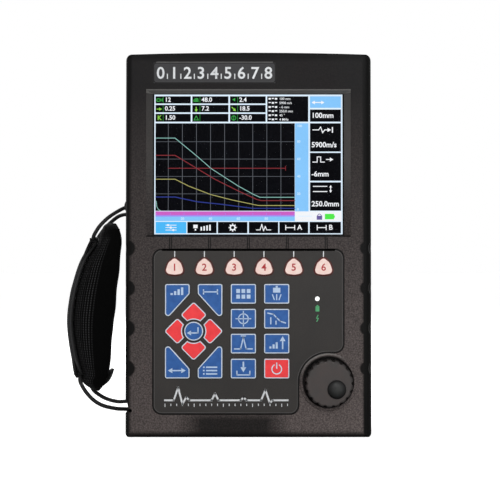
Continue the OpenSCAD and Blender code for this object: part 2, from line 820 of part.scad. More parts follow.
shield_half_w = 34;
shield_h = 48;
shield_t = 11;
shield_skin = 0.8;
shield_drop = 6;

module pulser_shield() color("#c6c9cc") difference() {
    deep(main_y + board_t, main_y + board_t + shield_t)
        area(-shield_half_w, shield_half_w, board_top_z - shield_drop - shield_h, board_top_z - shield_drop);
    deep(main_y + board_t - over, main_y + board_t + shield_t - shield_skin)
        area(shield_skin - shield_half_w, shield_half_w - shield_skin,
            board_top_z - shield_drop - shield_h + shield_skin, board_top_z - shield_drop - shield_skin);
}

buzzer_r = 6;
buzzer_t = 5;
buzzer_hole_r = 1;

module buzzer() color("#18181a") difference() {
    deep(main_y + board_t, main_y + board_t + buzzer_t) translate([-post_x + board_margin + buzzer_r, post_z])
        circle(buzzer_r);
    deep(main_y + board_t + buzzer_t / 2, main_y + board_t + buzzer_t + over)
        translate([-post_x + board_margin + buzzer_r, post_z]) circle(buzzer_hole_r);
}

// Encoder and knob
module encoder_body() color("#8f9296") difference() {
    translate([knob_x, 0, knob_z]) {
        deep(encoder_y, encoder_y + encoder_t) square([encoder_w, encoder_w], center = true);
        deep(well_floor_y - bushing_proud, encoder_y) circle(bushing_r);
    }
    deep(well_floor_y - bushing_proud - over, encoder_y + shaft_low + run)
        translate([knob_x, knob_z]) circle(shaft_r + run);
}

module encoder_shaft() color("#c9ccd0")
    deep(knob_front_y + shaft_top, encoder_y + shaft_low) translate([knob_x, knob_z]) circle(shaft_r);

module knob() color("#1f2023") difference() {
    translate([knob_x, 0, knob_z]) rotate([90, 0, 0]) rotate_extrude() polygon([
        [0, -knob_back_y],
        [knob_r, -knob_back_y],
        [knob_r, -knob_front_y - knob_chamfer],
        [knob_r - knob_chamfer, -knob_front_y],
        [0, -knob_front_y]
    ]);
    for (i = [0 : flute_count - 1]) translate([knob_x, 0, knob_z]) rotate([0, i * 360 / flute_count, 0])
        deep(knob_front_y - over, knob_back_y + over)
        translate([knob_r + flute_r - flute_bite, 0]) circle(flute_r);
    deep(knob_front_y + shaft_top, knob_back_y + over) translate([knob_x, knob_z]) circle(shaft_r + run / 2);
    deep(knob_back_y - knob_socket_depth, knob_back_y + over) translate([knob_x, knob_z]) circle(knob_socket_r);
    deep(knob_front_y - over, knob_front_y + spinner_seat) translate([spinner_x, spinner_z])
        circle(spinner_r + slip);
    deep(knob_front_y, knob_front_y + spinner_seat + spinner_pin_l + run) translate([spinner_x, spinner_z])
        circle(spinner_pin_r + run);
}

module knob_spinner() color("#2b2c30") {
    dome_r = (spinner_r * spinner_r + spinner_dome * spinner_dome) / (2 * spinner_dome);
    intersection() {
        deep(knob_front_y - spinner_dome - over, knob_front_y + spinner_seat - run)
            translate([spinner_x, spinner_z]) circle(spinner_r);
        translate([spinner_x, knob_front_y - spinner_dome + dome_r, spinner_z]) sphere(dome_r);
    }
    deep(knob_front_y, knob_front_y + spinner_seat + spinner_pin_l)
        translate([spinner_x, spinner_z]) circle(spinner_pin_r);
}

// Rear housing
module tub_area(grow) area(-tub_half_w - grow, tub_half_w + grow, tub_low_z - grow, tub_top_z + grow);

module door_area(grow) area(-door_half_w - grow, door_half_w + grow, door_low_z - grow, door_z);

module stand_area(grow) area(-stand_half_w - grow, stand_half_w + grow,
    stand_z - stand_l - grow, stand_z + stand_barrel_r + grow);

module bay_box(grow) translate([bay_x - bay_half_w - grow, bay_y - grow, bay_floor_z - grow])
    cube([2 * (bay_half_w + grow), rear_y - bay_y + 2 * grow, bay_depth + 2 * grow]);

module cover_area(grow) area(cover_y - cover_w / 2 - grow, cover_y + cover_w / 2 + grow,
    cover_z - cover_h - grow, cover_z + cover_barrel_r + grow);

module foot_sites() for (side = [-1, 1], z = [foot_pad_z, case_h - 2 * foot_pad_z])
    translate([side * foot_pad_x, z]) children();
foot_pad_x = 64;
foot_pad_z = 22;
foot_sink = 1;

module rear_backing() intersection() {
    case_block(0);
    union() {
        deep(tub_floor_y - bay_wall, rear_y) area(-door_half_w - bay_wall, door_half_w + bay_wall,
            door_low_z - bay_wall, door_z + door_barrel_r + bay_wall);
        deep(stand_floor_y - stand_back_t, rear_y) stand_area(stand_pin_grip + stand_back_t);
        bay_box(bay_rim);
        across(cover_floor_x - side_back_t, case_w / 2) cover_area(side_back_t + cover_pin_r);
        for (side = [-1, 1], i = [0 : 2]) deep(split_front_y, rear_y)
            translate([side * screw_x, screw_height(i)]) circle(boss_r);
    }
}

module rear_housing() color("#303136") difference() {
    union() {
        rear_half() difference() {
            union() {
                case_block(0);
                anchor_ears();
            }
            case_block(wall);
        }
        rear_half() anchor_blocks();
        rear_backing();
    }
    deep(tub_floor_y, rear_y + over) tub_area(0);
    deep(door_floor_y, rear_y + over) door_area(door_gap);
    across(-door_half_w - door_gap, door_half_w + door_gap)
        translate([door_y, door_z]) circle(door_barrel_r + door_gap);
    across(-door_half_w - door_gap, door_half_w + door_gap)
        area(door_y, rear_y + over, door_z - over, door_z + door_barrel_r + door_gap);
    across(-door_half_w - door_pin_l, door_half_w + door_pin_l)
        translate([door_y, door_z]) circle(door_pin_r + run);
    deep(door_floor_y - coin_bite - over, rear_y + over) translate([0, coin_z]) circle(coin_shank_r + coin_room);
    for (side = [-1, 1]) deep(tub_floor_y - bay_wall - over, tub_floor_y + over)
        translate([side * contact_x, tub_low_z + contact_h])
        square([contact_w + 2 * slip, contact_h + 2 * slip], center = true);
    deep(stand_floor_y, rear_y + over) stand_area(stand_gap);
    deep(stand_floor_y, rear_y + over) translate([0, stand_z - stand_l]) circle(stand_pull_r);
    across(-stand_half_w - stand_pin_grip, stand_half_w + stand_pin_grip)
        translate([stand_axis_y, stand_z]) circle(pin_r + run);
    translate([0, over, over]) bay_box(0);
    bay_box(0);
    for (side = [-1, 1]) translate([bay_x + side * probe_pitch / 2, probe_y, bay_floor_z - bay_rim - over])
        cylinder(r = probe_stub_r + slip, h = bay_rim + 2 * over);
    across(cover_floor_x, case_w / 2 + over) cover_area(cover_gap);
    across(cover_floor_x - side_back_t - over, cover_floor_x + over) {
        translate([cover_y, charge_z]) square([charge_body + 2 * slip, charge_body + 2 * slip], center = true);
        translate([cover_y, data_z]) square([data_w + 2 * slip, data_h + 2 * slip], center = true);
    }
    translate([cover_axis_x, cover_y, cover_z]) rotate([90, 0, 0])
        cylinder(r = cover_pin_r + run, h = cover_w + 2 * side_back_t, center = true);
    for (side = [-1, 1], i = [0 : 2]) translate([side * screw_x, 0, screw_height(i)]) {
        deep(split_front_y - over, rear_y + over) circle(screw_r + slip);
        deep(rear_y - screw_sink, rear_y + over) circle(screw_head_r + slip);
    }
    deep(rear_y - foot_sink, rear_y + over) foot_sites() circle(foot_pad_r + slip);
    anchor_slots();
    pin_bores();
}

module battery_pack() color("#3d4247")
    deep(tub_floor_y + 2 * battery_gap, door_floor_y - battery_gap) tub_area(-battery_gap);

module battery_contacts() color("#c9a648") for (side = [-1, 1])
    deep(tub_floor_y - bay_wall - contact_w / 2, tub_floor_y + 2 * battery_gap)
    translate([side * contact_x, tub_low_z + contact_h]) square([contact_w, contact_h], center = true);

module battery_door() color("#303136") difference() {
    union() {
        deep(door_y - door_t / 2, door_top_y) area(-door_half_w, door_half_w, door_low_z, door_z);
        across(-door_half_w, door_half_w) translate([door_y, door_z]) circle(door_barrel_r);
    }
    across(-door_half_w - over, door_half_w + over) translate([door_y, door_z]) circle(door_pin_r + run);
    deep(door_top_y - coin_t, rear_y + over) translate([0, coin_z]) circle(coin_r + slip);
    deep(door_y - door_t, rear_y + over) translate([0, coin_z]) circle(coin_shank_r + run);
}

module battery_screw() color("#a8abaf") difference() {
    translate([0, 0, coin_z]) {
        deep(door_top_y - coin_t, door_top_y) circle(coin_r);
        deep(door_floor_y - coin_bite, door_top_y - coin_t) circle(coin_shank_r);
    }
    deep(door_top_y - coin_slot, rear_y + over) translate([0, coin_z])
        square([2 * coin_r + over, coin_slot], center = true);
}

module door_pin() color("#b4b7ba")
    across(-door_half_w - door_pin_l, door_half_w + door_pin_l)
    translate([door_y, door_z]) circle(door_pin_r);

module stand() color("#232427") difference() {
    union() {
        deep(stand_axis_y + stand_barrel_r - stand_t, stand_axis_y + stand_barrel_r) blob([
            [stand_r - stand_half_w, stand_z - stand_l + stand_r, stand_r],
            [stand_half_w - stand_r, stand_z - stand_l + stand_r, stand_r],
            [stand_half_w - inner_r, stand_z - inner_r, inner_r],
            [inner_r - stand_half_w, stand_z - inner_r, inner_r]
        ]);
        across(-stand_half_w, stand_half_w) translate([stand_axis_y, stand_z]) circle(stand_barrel_r);
    }
    across(-stand_half_w - over, stand_half_w + over) translate([stand_axis_y, stand_z]) circle(pin_r + run);
    deep(stand_floor_y, rear_y + over) translate([0, stand_z - stand_l / 2]) blob(box_corners(
        2 * (stand_half_w - stand_window_in), stand_l - 2 * stand_window_in, alike(stand_r)));
}

module stand_pin() color("#b4b7ba")
    across(-stand_half_w - stand_pin_grip, stand_half_w + stand_pin_grip)
    translate([stand_axis_y, stand_z]) circle(pin_r);

module rear_feet() color("#161618")
    deep(rear_y - foot_sink, rear_y - foot_sink + foot_pad_t) foot_sites() circle(foot_pad_r);

module housing_screws() color("#9a9da1") for (side = [-1, 1], i = [0 : 2])
    translate([side * screw_x, 0, screw_height(i)]) difference() {
        union() {
            deep(rear_y - screw_sink, rear_y - screw_sink + screw_head_t) circle(screw_head_r);
            deep(rear_y - screw_sink - screw_l, rear_y - screw_sink) circle(screw_r);
        }
        deep(rear_y - screw_sink + screw_head_t / 2, rear_y) circle(screw_r, $fn = 6);
    }

// Sockets
module probe_socket(x) color("#c3c6ca") translate([x, probe_y, bay_floor_z]) difference() {
    union() {
        cylinder(r = probe_flange_r, h = probe_flange_t);
        cylinder(r = probe_r, h = probe_flange_t + probe_l);
        translate([0, 0, -bay_rim - probe_stub]) cylinder(r = probe_stub_r, h = bay_rim + probe_stub);
        translate([0, 0, -bay_rim - probe_nut_t]) cylinder(r = probe_flange_r + slip, h = probe_nut_t, $fn = 6);
    }
    difference() {
        translate([0, 0, probe_flange_t]) cylinder(r = probe_bore_r, h = probe_l + over);
        cylinder(r = probe_pin_r, h = probe_flange_t + probe_l - probe_pin_r);
    }
}

module probe_socket_send() probe_socket(bay_x - probe_pitch / 2);
module probe_socket_receive() probe_socket(bay_x + probe_pitch / 2);

module charge_socket() color("#141416") difference() {
    across(cover_floor_x - charge_l, cover_floor_x)
        translate([cover_y, charge_z]) square([charge_body, charge_body], center = true);
    difference() {
        across(cover_floor_x - charge_l + charge_r, cover_floor_x + over)
            translate([cover_y, charge_z]) circle(charge_r);
        across(cover_floor_x - charge_l, cover_floor_x - charge_pin_r)
            translate([cover_y, charge_z]) circle(charge_pin_r);
    }
}

module data_socket() color("#c3c6ca") difference() {
    across(cover_floor_x - data_l, cover_floor_x)
        translate([cover_y, data_z]) square([data_w, data_h], center = true);
    difference() {
        across(cover_floor_x - data_l + data_w, cover_floor_x + over) translate([cover_y, data_z])
            square([data_w - 2 * data_shell, data_h - 2 * data_shell], center = true);
        across(cover_floor_x - data_l, cover_floor_x - data_shell) translate([cover_y, data_z])
            square([data_shell, data_h - 4 * data_shell], center = true);
    }
}

module port_cover() color("#1b1c1e") difference() {
    union() {
        across(cover_axis_x - cover_barrel_r, cover_axis_x + cover_barrel_r)
            area(cover_y - cover_w / 2, cover_y + cover_w / 2, cover_z - cover_h, cover_z);
        translate([cover_axis_x, cover_y, cover_z]) rotate([90, 0, 0])
            cylinder(r = cover_barrel_r, h = cover_w, center = true);
        translate([cover_axis_x, cover_y, cover_z]) rotate([90, 0, 0])
            cylinder(r = cover_pin_r, h = cover_w + 2 * side_back_t - 2 * cover_gap, center = true);
    }
    across(cover_axis_x, case_w) translate([cover_y, cover_z - cover_h]) circle(cover_t);
}

// Hand strap
module strap_pins() color("#c2c5c8") for (z = [pin_low_z, pin_top_z]) translate([pin_x, 0, z])
    rotate([90, 0, 0]) cylinder(r = pin_r, h = 2 * (anchor_half_y + pin_grip) - run, center = true);

// A point at part t of the way from b to c on a smooth curve through a, b, c and d
function smooth(a, b, c, d, t) =
    b + t * ((c - a) + t * ((2 * a - 5 * b + 4 * c - d) + t * (3 * b - a - 3 * c + d))) / 2;
function curve(p, steps) = let (n = len(p) - 1) [
    for (i = [0 : n - 1], k = [0 : steps - 1])
        smooth(p[max(i - 1, 0)], p[i], p[i + 1], p[min(i + 2, n)], k / steps),
    p[n]
];
function strap_point(share) = [
    -case_w / 2 - strap_reach * share[0], pin_low_z + (pin_top_z - pin_low_z) * share[1]
];
function sideways(p, i) =
    let (d = unit(p[min(i + 1, len(p) - 1)] - p[max(i - 1, 0)])) [-d[1], d[0]];
function band(p, t) = concat(
    [for (i = [0 : len(p) - 1]) p[i] + sideways(p, i) * t / 2],
    [for (i = [len(p) - 1 : -1 : 0]) p[i] - sideways(p, i) * t / 2]
);

bow_knots = [for (s = bow_shares) strap_point(s)];
bow = curve(bow_knots, bow_steps);
bow_heights = [for (p = bow) [p[1], p[0]]];
fold_top = [pin_x + cord_top_route[9][0], pin_top_z + cord_top_route[9][2]];
fold_low = [pin_x + cord_low_route[9][0], pin_low_z + cord_low_route[9][2]];

module strap_webbing() color("#141416") difference() {
    union() {
        deep(-webbing_w / 2, webbing_w / 2) polygon(band(bow, webbing_t));
        deep(-webbing_w / 2, webbing_w / 2) polygon(band([for (s = tail_shares) strap_point(s)], tail_t));
        for (c = [fold_top, fold_low]) deep(-webbing_w / 2, webbing_w / 2) translate(c) circle(fold_r);
    }
    for (c = [fold_top, fold_low]) deep(-webbing_w / 2 - over, webbing_w / 2 + over)
        translate(c) circle(fold_bore_r);
}

// One round of the pad at height z: its outer face, then its inner face
function bow_slope(z) = (lookup(z + over, bow_heights) - lookup(z - over, bow_heights)) / (2 * over);
function lean(z) = let (s = bow_slope(z)) sqrt(1 + s * s);
function cushion_round(u) =
    let (
        z = cushion_low_z + (cushion_top_z - cushion_low_z) * u,
        x = lookup(z, bow_heights) + (webbing_t / 2 + soft_gap) * lean(z),
        wing = pad_wing * lookup(u, wing_shares),
        depth = -case_w / 2 - strap_reach * lookup(u, edge_shares) - x,
        crown = cushion_t * (0.7 + 0.3 * sin(180 * u)),
        step = 180 / cushion_arc
    )
    concat(
        [for (a = [-90 : step : 90]) [x + depth * (1 - cos(a)), wing * sin(a), z]],
        [for (a = [90 - step / 3 : -(180 - 2 * step / 3) / cushion_arc : -90])
            [x + crown + (depth - crown + cushion_edge / 3) * (1 - cos(a)),
                (wing - cushion_edge) * sin(a), z]]
    );

function tube_faces(rounds, sides) = [
    for (i = [0 : rounds - 2], k = [0 : sides - 1])
        let (n = (k + 1) % sides, a = i * sides, b = a + sides)
        each [[a + k, b + k, b + n], [a + k, b + n, a + n]]
];

module strap_pad() color("#17181a") {
    rounds = [for (i = [0 : cushion_stations - 1]) cushion_round(i / (cushion_stations - 1))];
    sides = len(rounds[0]);
    last = (cushion_stations - 1) * sides;
    polyhedron(
        points = [for (r = rounds) each r],
        faces = concat(tube_faces(cushion_stations, sides),
            [[for (k = [0 : sides - 1]) k]],
            [[for (k = [sides - 1 : -1 : 0]) last + k]])
    );
}

// A closed cord along its route, which starts and ends at the same place
function around(p, i) = p[(i + len(p)) % len(p)];
function cord_round(p, i) =
    let (
        along = unit(around(p, i + 1) - around(p, i - 1)),
        out = unit(cross(along, cord_reference)),
        up = cross(along, out)
    )
    [for (k = [0 : cord_sides - 1]) let (a = 360 * k / cord_sides)
        p[i] + (out * cos(a) + up * sin(a)) * cord_d / 2];
function closed_curve(p, steps) = [
    for (i = [0 : len(p) - 1], k = [0 : steps - 1])
        smooth(around(p, i - 1), p[i], around(p, i + 1), around(p, i + 2), k / steps)
];
function closed_faces(rounds) = [
    for (i = [0 : rounds - 1], k = [0 : cord_sides - 1])
        let (n = (k + 1) % cord_sides, a = i * cord_sides, b = ((i + 1) % rounds) * cord_sides)
        each [[a + k, b + n, b + k], [a + k, a + n, b + n]]
];

module cord_loop(route, z) color("#0f0f11") translate([pin_x, 0, z]) {
    line = closed_curve(route, 2);
    polyhedron(
        points = [for (i = [0 : len(line) - 1]) each cord_round(line, i)],
        faces = closed_faces(len(line))
    );
}

module strap_cord_top() cord_loop(cord_top_route, pin_top_z);
module strap_cord_bottom() cord_loop(cord_low_route, pin_low_z);

front_housing();
rear_housing();
housing_seal();
screen_window();
display_panel();
display_bracket();
name_plate();
keypad_panel();
charge_lamp();
keypad_board();
main_board();
pulser_shield();
buzzer();
encoder_body();
encoder_shaft();
knob();
knob_spinner();
probe_socket_send();
probe_socket_receive();
charge_socket();
data_socket();
port_cover();
battery_pack();
battery_contacts();
battery_door();
battery_screw();
door_pin();
stand();
stand_pin();
rear_feet();
housing_screws();
strap_pins();
strap_cord_top();
strap_cord_bottom();
strap_webbing();
strap_pad();
key_f1();
key_f2();
key_f3();
key_f4();
key_f5();
key_f6();
key_gain();
key_gate();
key_range();
key_menu();
key_up();
key_down();
key_left();
key_right();
key_enter();
key_channel();
key_probe();
key_calibrate();
key_curve();
key_peak();
key_auto_gain();
key_store();
key_power();
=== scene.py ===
import math
import bmesh
import bpy
from mathutils import Matrix, Vector


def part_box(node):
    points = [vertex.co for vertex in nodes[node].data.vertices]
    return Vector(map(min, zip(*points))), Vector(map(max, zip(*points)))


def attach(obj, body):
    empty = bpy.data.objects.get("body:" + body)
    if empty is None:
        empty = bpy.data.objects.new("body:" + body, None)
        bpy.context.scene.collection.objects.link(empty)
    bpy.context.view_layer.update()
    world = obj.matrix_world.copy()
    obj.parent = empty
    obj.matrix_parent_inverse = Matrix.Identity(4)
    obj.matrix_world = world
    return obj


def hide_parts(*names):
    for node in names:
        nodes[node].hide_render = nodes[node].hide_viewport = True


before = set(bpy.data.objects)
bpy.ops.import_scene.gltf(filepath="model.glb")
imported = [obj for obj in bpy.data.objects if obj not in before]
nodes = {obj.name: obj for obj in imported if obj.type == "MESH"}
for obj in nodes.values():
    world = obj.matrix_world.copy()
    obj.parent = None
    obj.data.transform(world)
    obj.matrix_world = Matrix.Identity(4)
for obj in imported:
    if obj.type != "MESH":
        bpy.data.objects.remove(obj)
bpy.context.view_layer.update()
mm = 0.001
frontY = -30.5  # the case's front face, in mm
quarter = math.pi / 2
print("frame loaded:", len(nodes), "nodes")


# Colours are written as on a screen, and Blender wants them linear
def shade(code):
    levels = [int(code[i:i + 2], 16) / 255 for i in (1, 3, 5)]
    return [v / 12.92 if v < 0.04045 else ((v + 0.055) / 1.055) ** 2.4 for v in levels] + [1]


# One value inside a material, so that sums on it can be written as plain maths
class Wire:
    def __init__(self, paint, socket):
        self.paint, self.socket = paint, socket

    def __add__(self, other):
        return self.paint.sum("ADD", self, other)

    def __sub__(self, other):
        return self.paint.sum("SUBTRACT", self, other)

    def __rsub__(self, other):
        return self.paint.sum("SUBTRACT", other, self)

    def __mul__(self, other):
        return self.paint.sum("MULTIPLY", self, other)

    def __gt__(self, other):
        return self.paint.sum("GREATER_THAN", self, other)

    def __lt__(self, other):
        return self.paint.sum("LESS_THAN", self, other)

    def __pow__(self, other):
        return self.paint.sum("POWER", self, other)

    def __or__(self, other):
        return self.paint.sum("MAXIMUM", self, other)

    def __abs__(self):
        return self.paint.sum("ABSOLUTE", self)

    def wave(self):
        return self.paint.sum("SINE", self)


# A material with a Principled shader; fixed values go on the shader's own sockets
class Paint:
    def __init__(self, name, **fixed):
        self.material = bpy.data.materials.new(name)
        self.material.use_nodes = True
        self.tree = self.material.node_tree
        self.shader = self.tree.nodes["Principled BSDF"]
        for socket, value in fixed.items():
            self.shader.inputs[socket.replace("_", " ")].default_value = value

    def node(self, kind, settings=None, inputs=None, out=0):
        made = self.tree.nodes.new("ShaderNode" + kind)
        for key, value in (settings or {}).items():
            setattr(made, key, value)
        for key, value in (inputs or {}).items():
            if isinstance(value, Wire):
                self.tree.links.new(value.socket, made.inputs[key])
            else:
                made.inputs[key].default_value = value
        return Wire(self, made.outputs[out])

    def sum(self, operation, a, b=0.0):
        return self.node("Math", {"operation": operation}, {0: a, 1: b})

    def place(self, scale=(1, 1, 1), turn=(0, 0, 0), shift=(0, 0, 0)):
        spot = self.node("TexCoord", out="Object")
        inputs = {"Vector": spot, "Scale": scale, "Rotation": turn, "Location": shift}
        return self.node("Mapping", None, inputs)

    def parts(self, vector):
        first = self.node("SeparateXYZ", None, {"Vector": vector})
        return [Wire(self, socket) for socket in first.socket.node.outputs]

    # x, y and z in mm from a point
    def millimetres(self, x=0, z=0):
        return self.parts(self.place(scale=(1 / mm, 1 / mm, 1 / mm), shift=(-x, 0, -z)))

    def noise(self, scale, detail=2.0, rough=0.5, vector=None):
        return self.node("TexNoise", None, {
            "Vector": vector or self.place(), "Scale": scale, "Detail": detail, "Roughness": rough})

    def cells(self, scale):
        return self.node("TexVoronoi", None, {"Vector": self.place(), "Scale": scale})

    def spread(self, value, low, high, newLow, newHigh):
        return self.node("MapRange", None, {
            "Value": value, "From Min": low, "From Max": high, "To Min": newLow, "To Max": newHigh})

    def mix(self, share, first, second):
        first, second = [shade(c) if isinstance(c, str) else c for c in (first, second)]
        return self.node("Mix", {"data_type": "RGBA"}, {0: share, 6: first, 7: second}, out=2)

    # A noise's useful range shared out between two colours
    def mottle(self, noise, first, second, low=0.3, high=0.7, most=1):
        return self.mix(self.spread(noise, low, high, 0, most), first, second)

    def feed(self, **wires):
        for socket, wire in wires.items():
            self.tree.links.new(wire.socket, self.shader.inputs[socket.replace("_", " ")])
        return self.material

    def bump(self, height, depth, strength=1.0):
        return self.node("Bump", None, {"Height": height, "Distance": depth * mm, "Strength": strength})

    # Colour, roughness that follows a grain, and a bump of some depth in mm
    def coat(self, tone, grain, smooth, rough, height, depth, strength=1.0):
        return self.feed(Base_Color=tone, Roughness=self.spread(grain, 0.3, 0.7, smooth, rough),
                         Normal=self.bump(height, depth, strength))


# Camera at the photograph's place: it looks from a little below the middle of the case
photo = {"eye": 750, "aimX": 1.1, "aimZ": 128.9, "lower": 13.1, "pixels": 500, "mmPerPixel": 0.6887}


def makeCamera():
    aim = Vector((photo["aimX"], frontY, photo["aimZ"])) * mm
    spot = aim + Vector((0, -photo["eye"], -photo["lower"])) * mm
    bpy.ops.object.camera_add(location=spot, rotation=(aim - spot).to_track_quat("-Z", "Y").to_euler())
    camera = bpy.context.object
    camera.data.lens = camera.data.sensor_width * photo["eye"] / (photo["pixels"] * photo["mmPerPixel"])
    camera.data.clip_start = 0.01
    bpy.context.scene.camera = camera
    bpy.context.scene.view_settings.view_transform = "Standard"


# Soft lamps: name, place in metres, size, watts
lamps = [
    ("keyLamp", (0.1, -1.5, 0.8), 0.7, 13),
    ("lowLamp", (0.55, -1.1, 0.1), 0.4, 3),
    ("backLamp", (-0.6, 1.3, 1.1), 1.0, 26),
]
studio = {"aimHeight": 0.13, "ambient": 0.12, "floor": "#e6e6e6", "floorGlow": 0.82, "floorSize": 60}


def makeStudio():
    for name, spot, size, watts in lamps:
        aim = (Vector((0, 0, studio["aimHeight"])) - Vector(spot)).to_track_quat("-Z", "Y").to_euler()
        bpy.ops.object.light_add(type="AREA", location=spot, rotation=aim)
        lamp = bpy.context.object
        lamp.name, lamp.data.size, lamp.data.energy = name, size, watts
    world = bpy.data.worlds.new("studio")
    bpy.context.scene.world = world
    world.use_nodes = True
    tree = world.node_tree
    rays = tree.nodes.new("ShaderNodeLightPath")
    level = tree.nodes.new("ShaderNodeMapRange")
    level.inputs["To Min"].default_value = studio["ambient"]
    white = rays.outputs["Is Camera Ray"]
    for kind in ("Is Glossy Ray", "Is Transmission Ray"):
        joined = tree.nodes.new("ShaderNodeMath")
        joined.operation = "MAXIMUM"
        tree.links.new(white, joined.inputs[0])
        tree.links.new(rays.outputs[kind], joined.inputs[1])
        white = joined.outputs[0]
    tree.links.new(white, level.inputs["Value"])
    tree.nodes["Background"].inputs["Color"].default_value = (1, 1, 1, 1)
    tree.links.new(level.outputs[0], tree.nodes["Background"].inputs["Strength"])
    bpy.ops.mesh.primitive_plane_add(size=studio["floorSize"], location=(0, 0, 0))
    floor = bpy.context.object
    floor.name = "floor"
    paint = Paint("floorPaint", Base_Color=shade(studio["floor"]), Roughness=0.9, Emission_Color=(1, 1, 1, 1))
    look = paint.node("LightPath", out="Is Camera Ray")
    floor.data.materials.append(paint.feed(Emission_Strength=look * studio["floorGlow"]))


makeCamera()
makeStudio()
print("camera and studio ready")


# Edit mode helpers: nothing is selected to begin with, then faces or edges are picked by place
def leaveEdit():
    if bpy.context.object and bpy.context.object.mode != "OBJECT":
        bpy.ops.object.mode_set(mode="OBJECT")


def rest():
    leaveEdit()
    bpy.ops.object.select_all(action="DESELECT")


def takeUp(made):
    rest()
    made.select_set(True)
    bpy.context.view_layer.objects.active = made
    return made


def startPiece(primitive, name, **where):
    rest()
    primitive(**where)
    made = bpy.context.object
    made.name = name
    bpy.ops.object.transform_apply()
    bpy.ops.object.mode_set(mode="EDIT")
    bpy.ops.mesh.select_mode(type="VERT")
    return made


def pick(faces=None, edges=None):
    mesh = bmesh.from_edit_mesh(bpy.context.edit_object.data)
    bpy.ops.mesh.select_mode(type="FACE" if faces else "EDGE")
    bpy.ops.mesh.select_all(action="DESELECT")
    for item in mesh.faces if faces else mesh.edges:
        item.select_set((faces or edges)(item))
    mesh.select_flush_mode()
    bmesh.update_edit_mesh(bpy.context.edit_object.data)


# Leaves only a band of some width along the edge of the face that is selected
def openUp(wide):
    bpy.ops.mesh.inset(thickness=wide * mm)
    bpy.ops.mesh.delete(type="FACE")


def giveMaterial(index):
    bpy.context.edit_object.active_material_index = index
    bpy.ops.object.material_slot_assign()


def cover(pieces, paint):
    leaveEdit()
    for piece in pieces:
        piece.data.materials.clear()
        piece.data.materials.append(paint)


def endPiece(body, smoothDegrees=35, replaced=()):
    made = bpy.context.object
    leaveEdit()
    made.select_set(True)
    bpy.ops.object.shade_smooth_by_angle(angle=math.radians(smoothDegrees))
    bpy.ops.object.transform_apply(location=True, rotation=True, scale=True)
    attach(made, body)
    if replaced:
        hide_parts(*replaced)
    return made


def applyModifier(kind, **settings):
    made = bpy.context.object
    modifier = made.modifiers.new(kind.title(), kind)
    for key, value in settings.items():
        setattr(modifier, key, value)
    bpy.ops.object.modifier_apply(modifier=modifier.name)


# Cuts a round hole of some depth on both sides of a place, along y
def boreOut(made, x, y, z, radius, depth):
    leaveEdit()
    bpy.ops.mesh.primitive_cylinder_add(vertices=64, radius=radius * mm, depth=2 * depth * mm,
                                        location=(x * mm, y * mm, z * mm), rotation=(quarter, 0, 0))
    cutter = bpy.context.object
    bpy.context.view_layer.objects.active = made
    applyModifier("BOOLEAN", object=cutter, operation="DIFFERENCE")
    bpy.data.objects.remove(cutter)


def joinAll(pieces, name):
    rest()
    for piece in pieces:
        piece.select_set(True)
    bpy.context.view_layer.objects.active = pieces[0]
    if len(pieces) > 1:
        bpy.ops.object.join()
    bpy.context.object.name = name
    return bpy.context.object


# Finishes of the CAD nodes that stay. First, in mm, where the case's tone and painted shading change
zones = {
    "left": (-80.2, -82.8), "right": (78.1, 79.7), "inside": 78, "caseSide": 85, "crown": (258.8, 262),
    "foot": (5, 2.2), "back": (-28, -21), "groove": (frontY + 0.08, frontY + 0.35), "middle": (-10, 10),
    "lightFade": (-30, 240), "scoopWide": (7.2, 8.5), "scoopHigh": 6.4, "scoopLow": 30, "scoopTop": 140,
    "scoopZ": 47.4, "scoopPitch": 27.6, "scoopBack": (-26, -23.8), "lean": (80, 170), "patchX": -10,
    "patchWide": (22, 40), "patchTop": (12, 20), "screenSide": 66.2, "screenLow": 139, "screenTop": 237,
    "lipLow": 237.2, "lipTop": 240, "lipSide": 70.6, "bevel": (148, 190), "wellX": 55, "wellZ": 37.9,
    "slant": 0.4, "ringShade": 18.3, "shadeUp": (4, 14), "ringIn": 19, "ringOut": 19.9, "ringUp": (9, 24),
}


# Painted shade: dark bands along the case's sides, top and foot, and in its scoops;
# the scoops' dark is partly painted shade and partly their own darker surface
def darkSides(paint, tone, x, y, z):
    narrow, broad = zones["scoopWide"]
    step = paint.sum("PINGPONG", z - zones["scoopZ"], zones["scoopPitch"] / 2) * (1 / zones["scoopHigh"])
    away = (abs(x) - zones["caseSide"]) * paint.spread(x, *zones["middle"], 1 / narrow, 1 / broad)
    scoop = paint.spread(away * away + step * step, 1.08, 0.8, 0, 0.97)
    scoop = scoop * (z < zones["scoopTop"]) * (z > zones["scoopLow"])
    scoop = scoop * paint.spread(y, *zones["scoopBack"], 1, 0)
    side = paint.spread(x, *zones["left"], 0, 1) | paint.spread(x, *zones["right"], 0, 1)
    rim = side | paint.spread(z, *zones["crown"], 0, 0.92) | paint.spread(z, *zones["foot"], 0, 0.88)
    return paint.mix(rim * paint.spread(y, *zones["back"], 1, 0.05) | scoop, tone, "#040404")


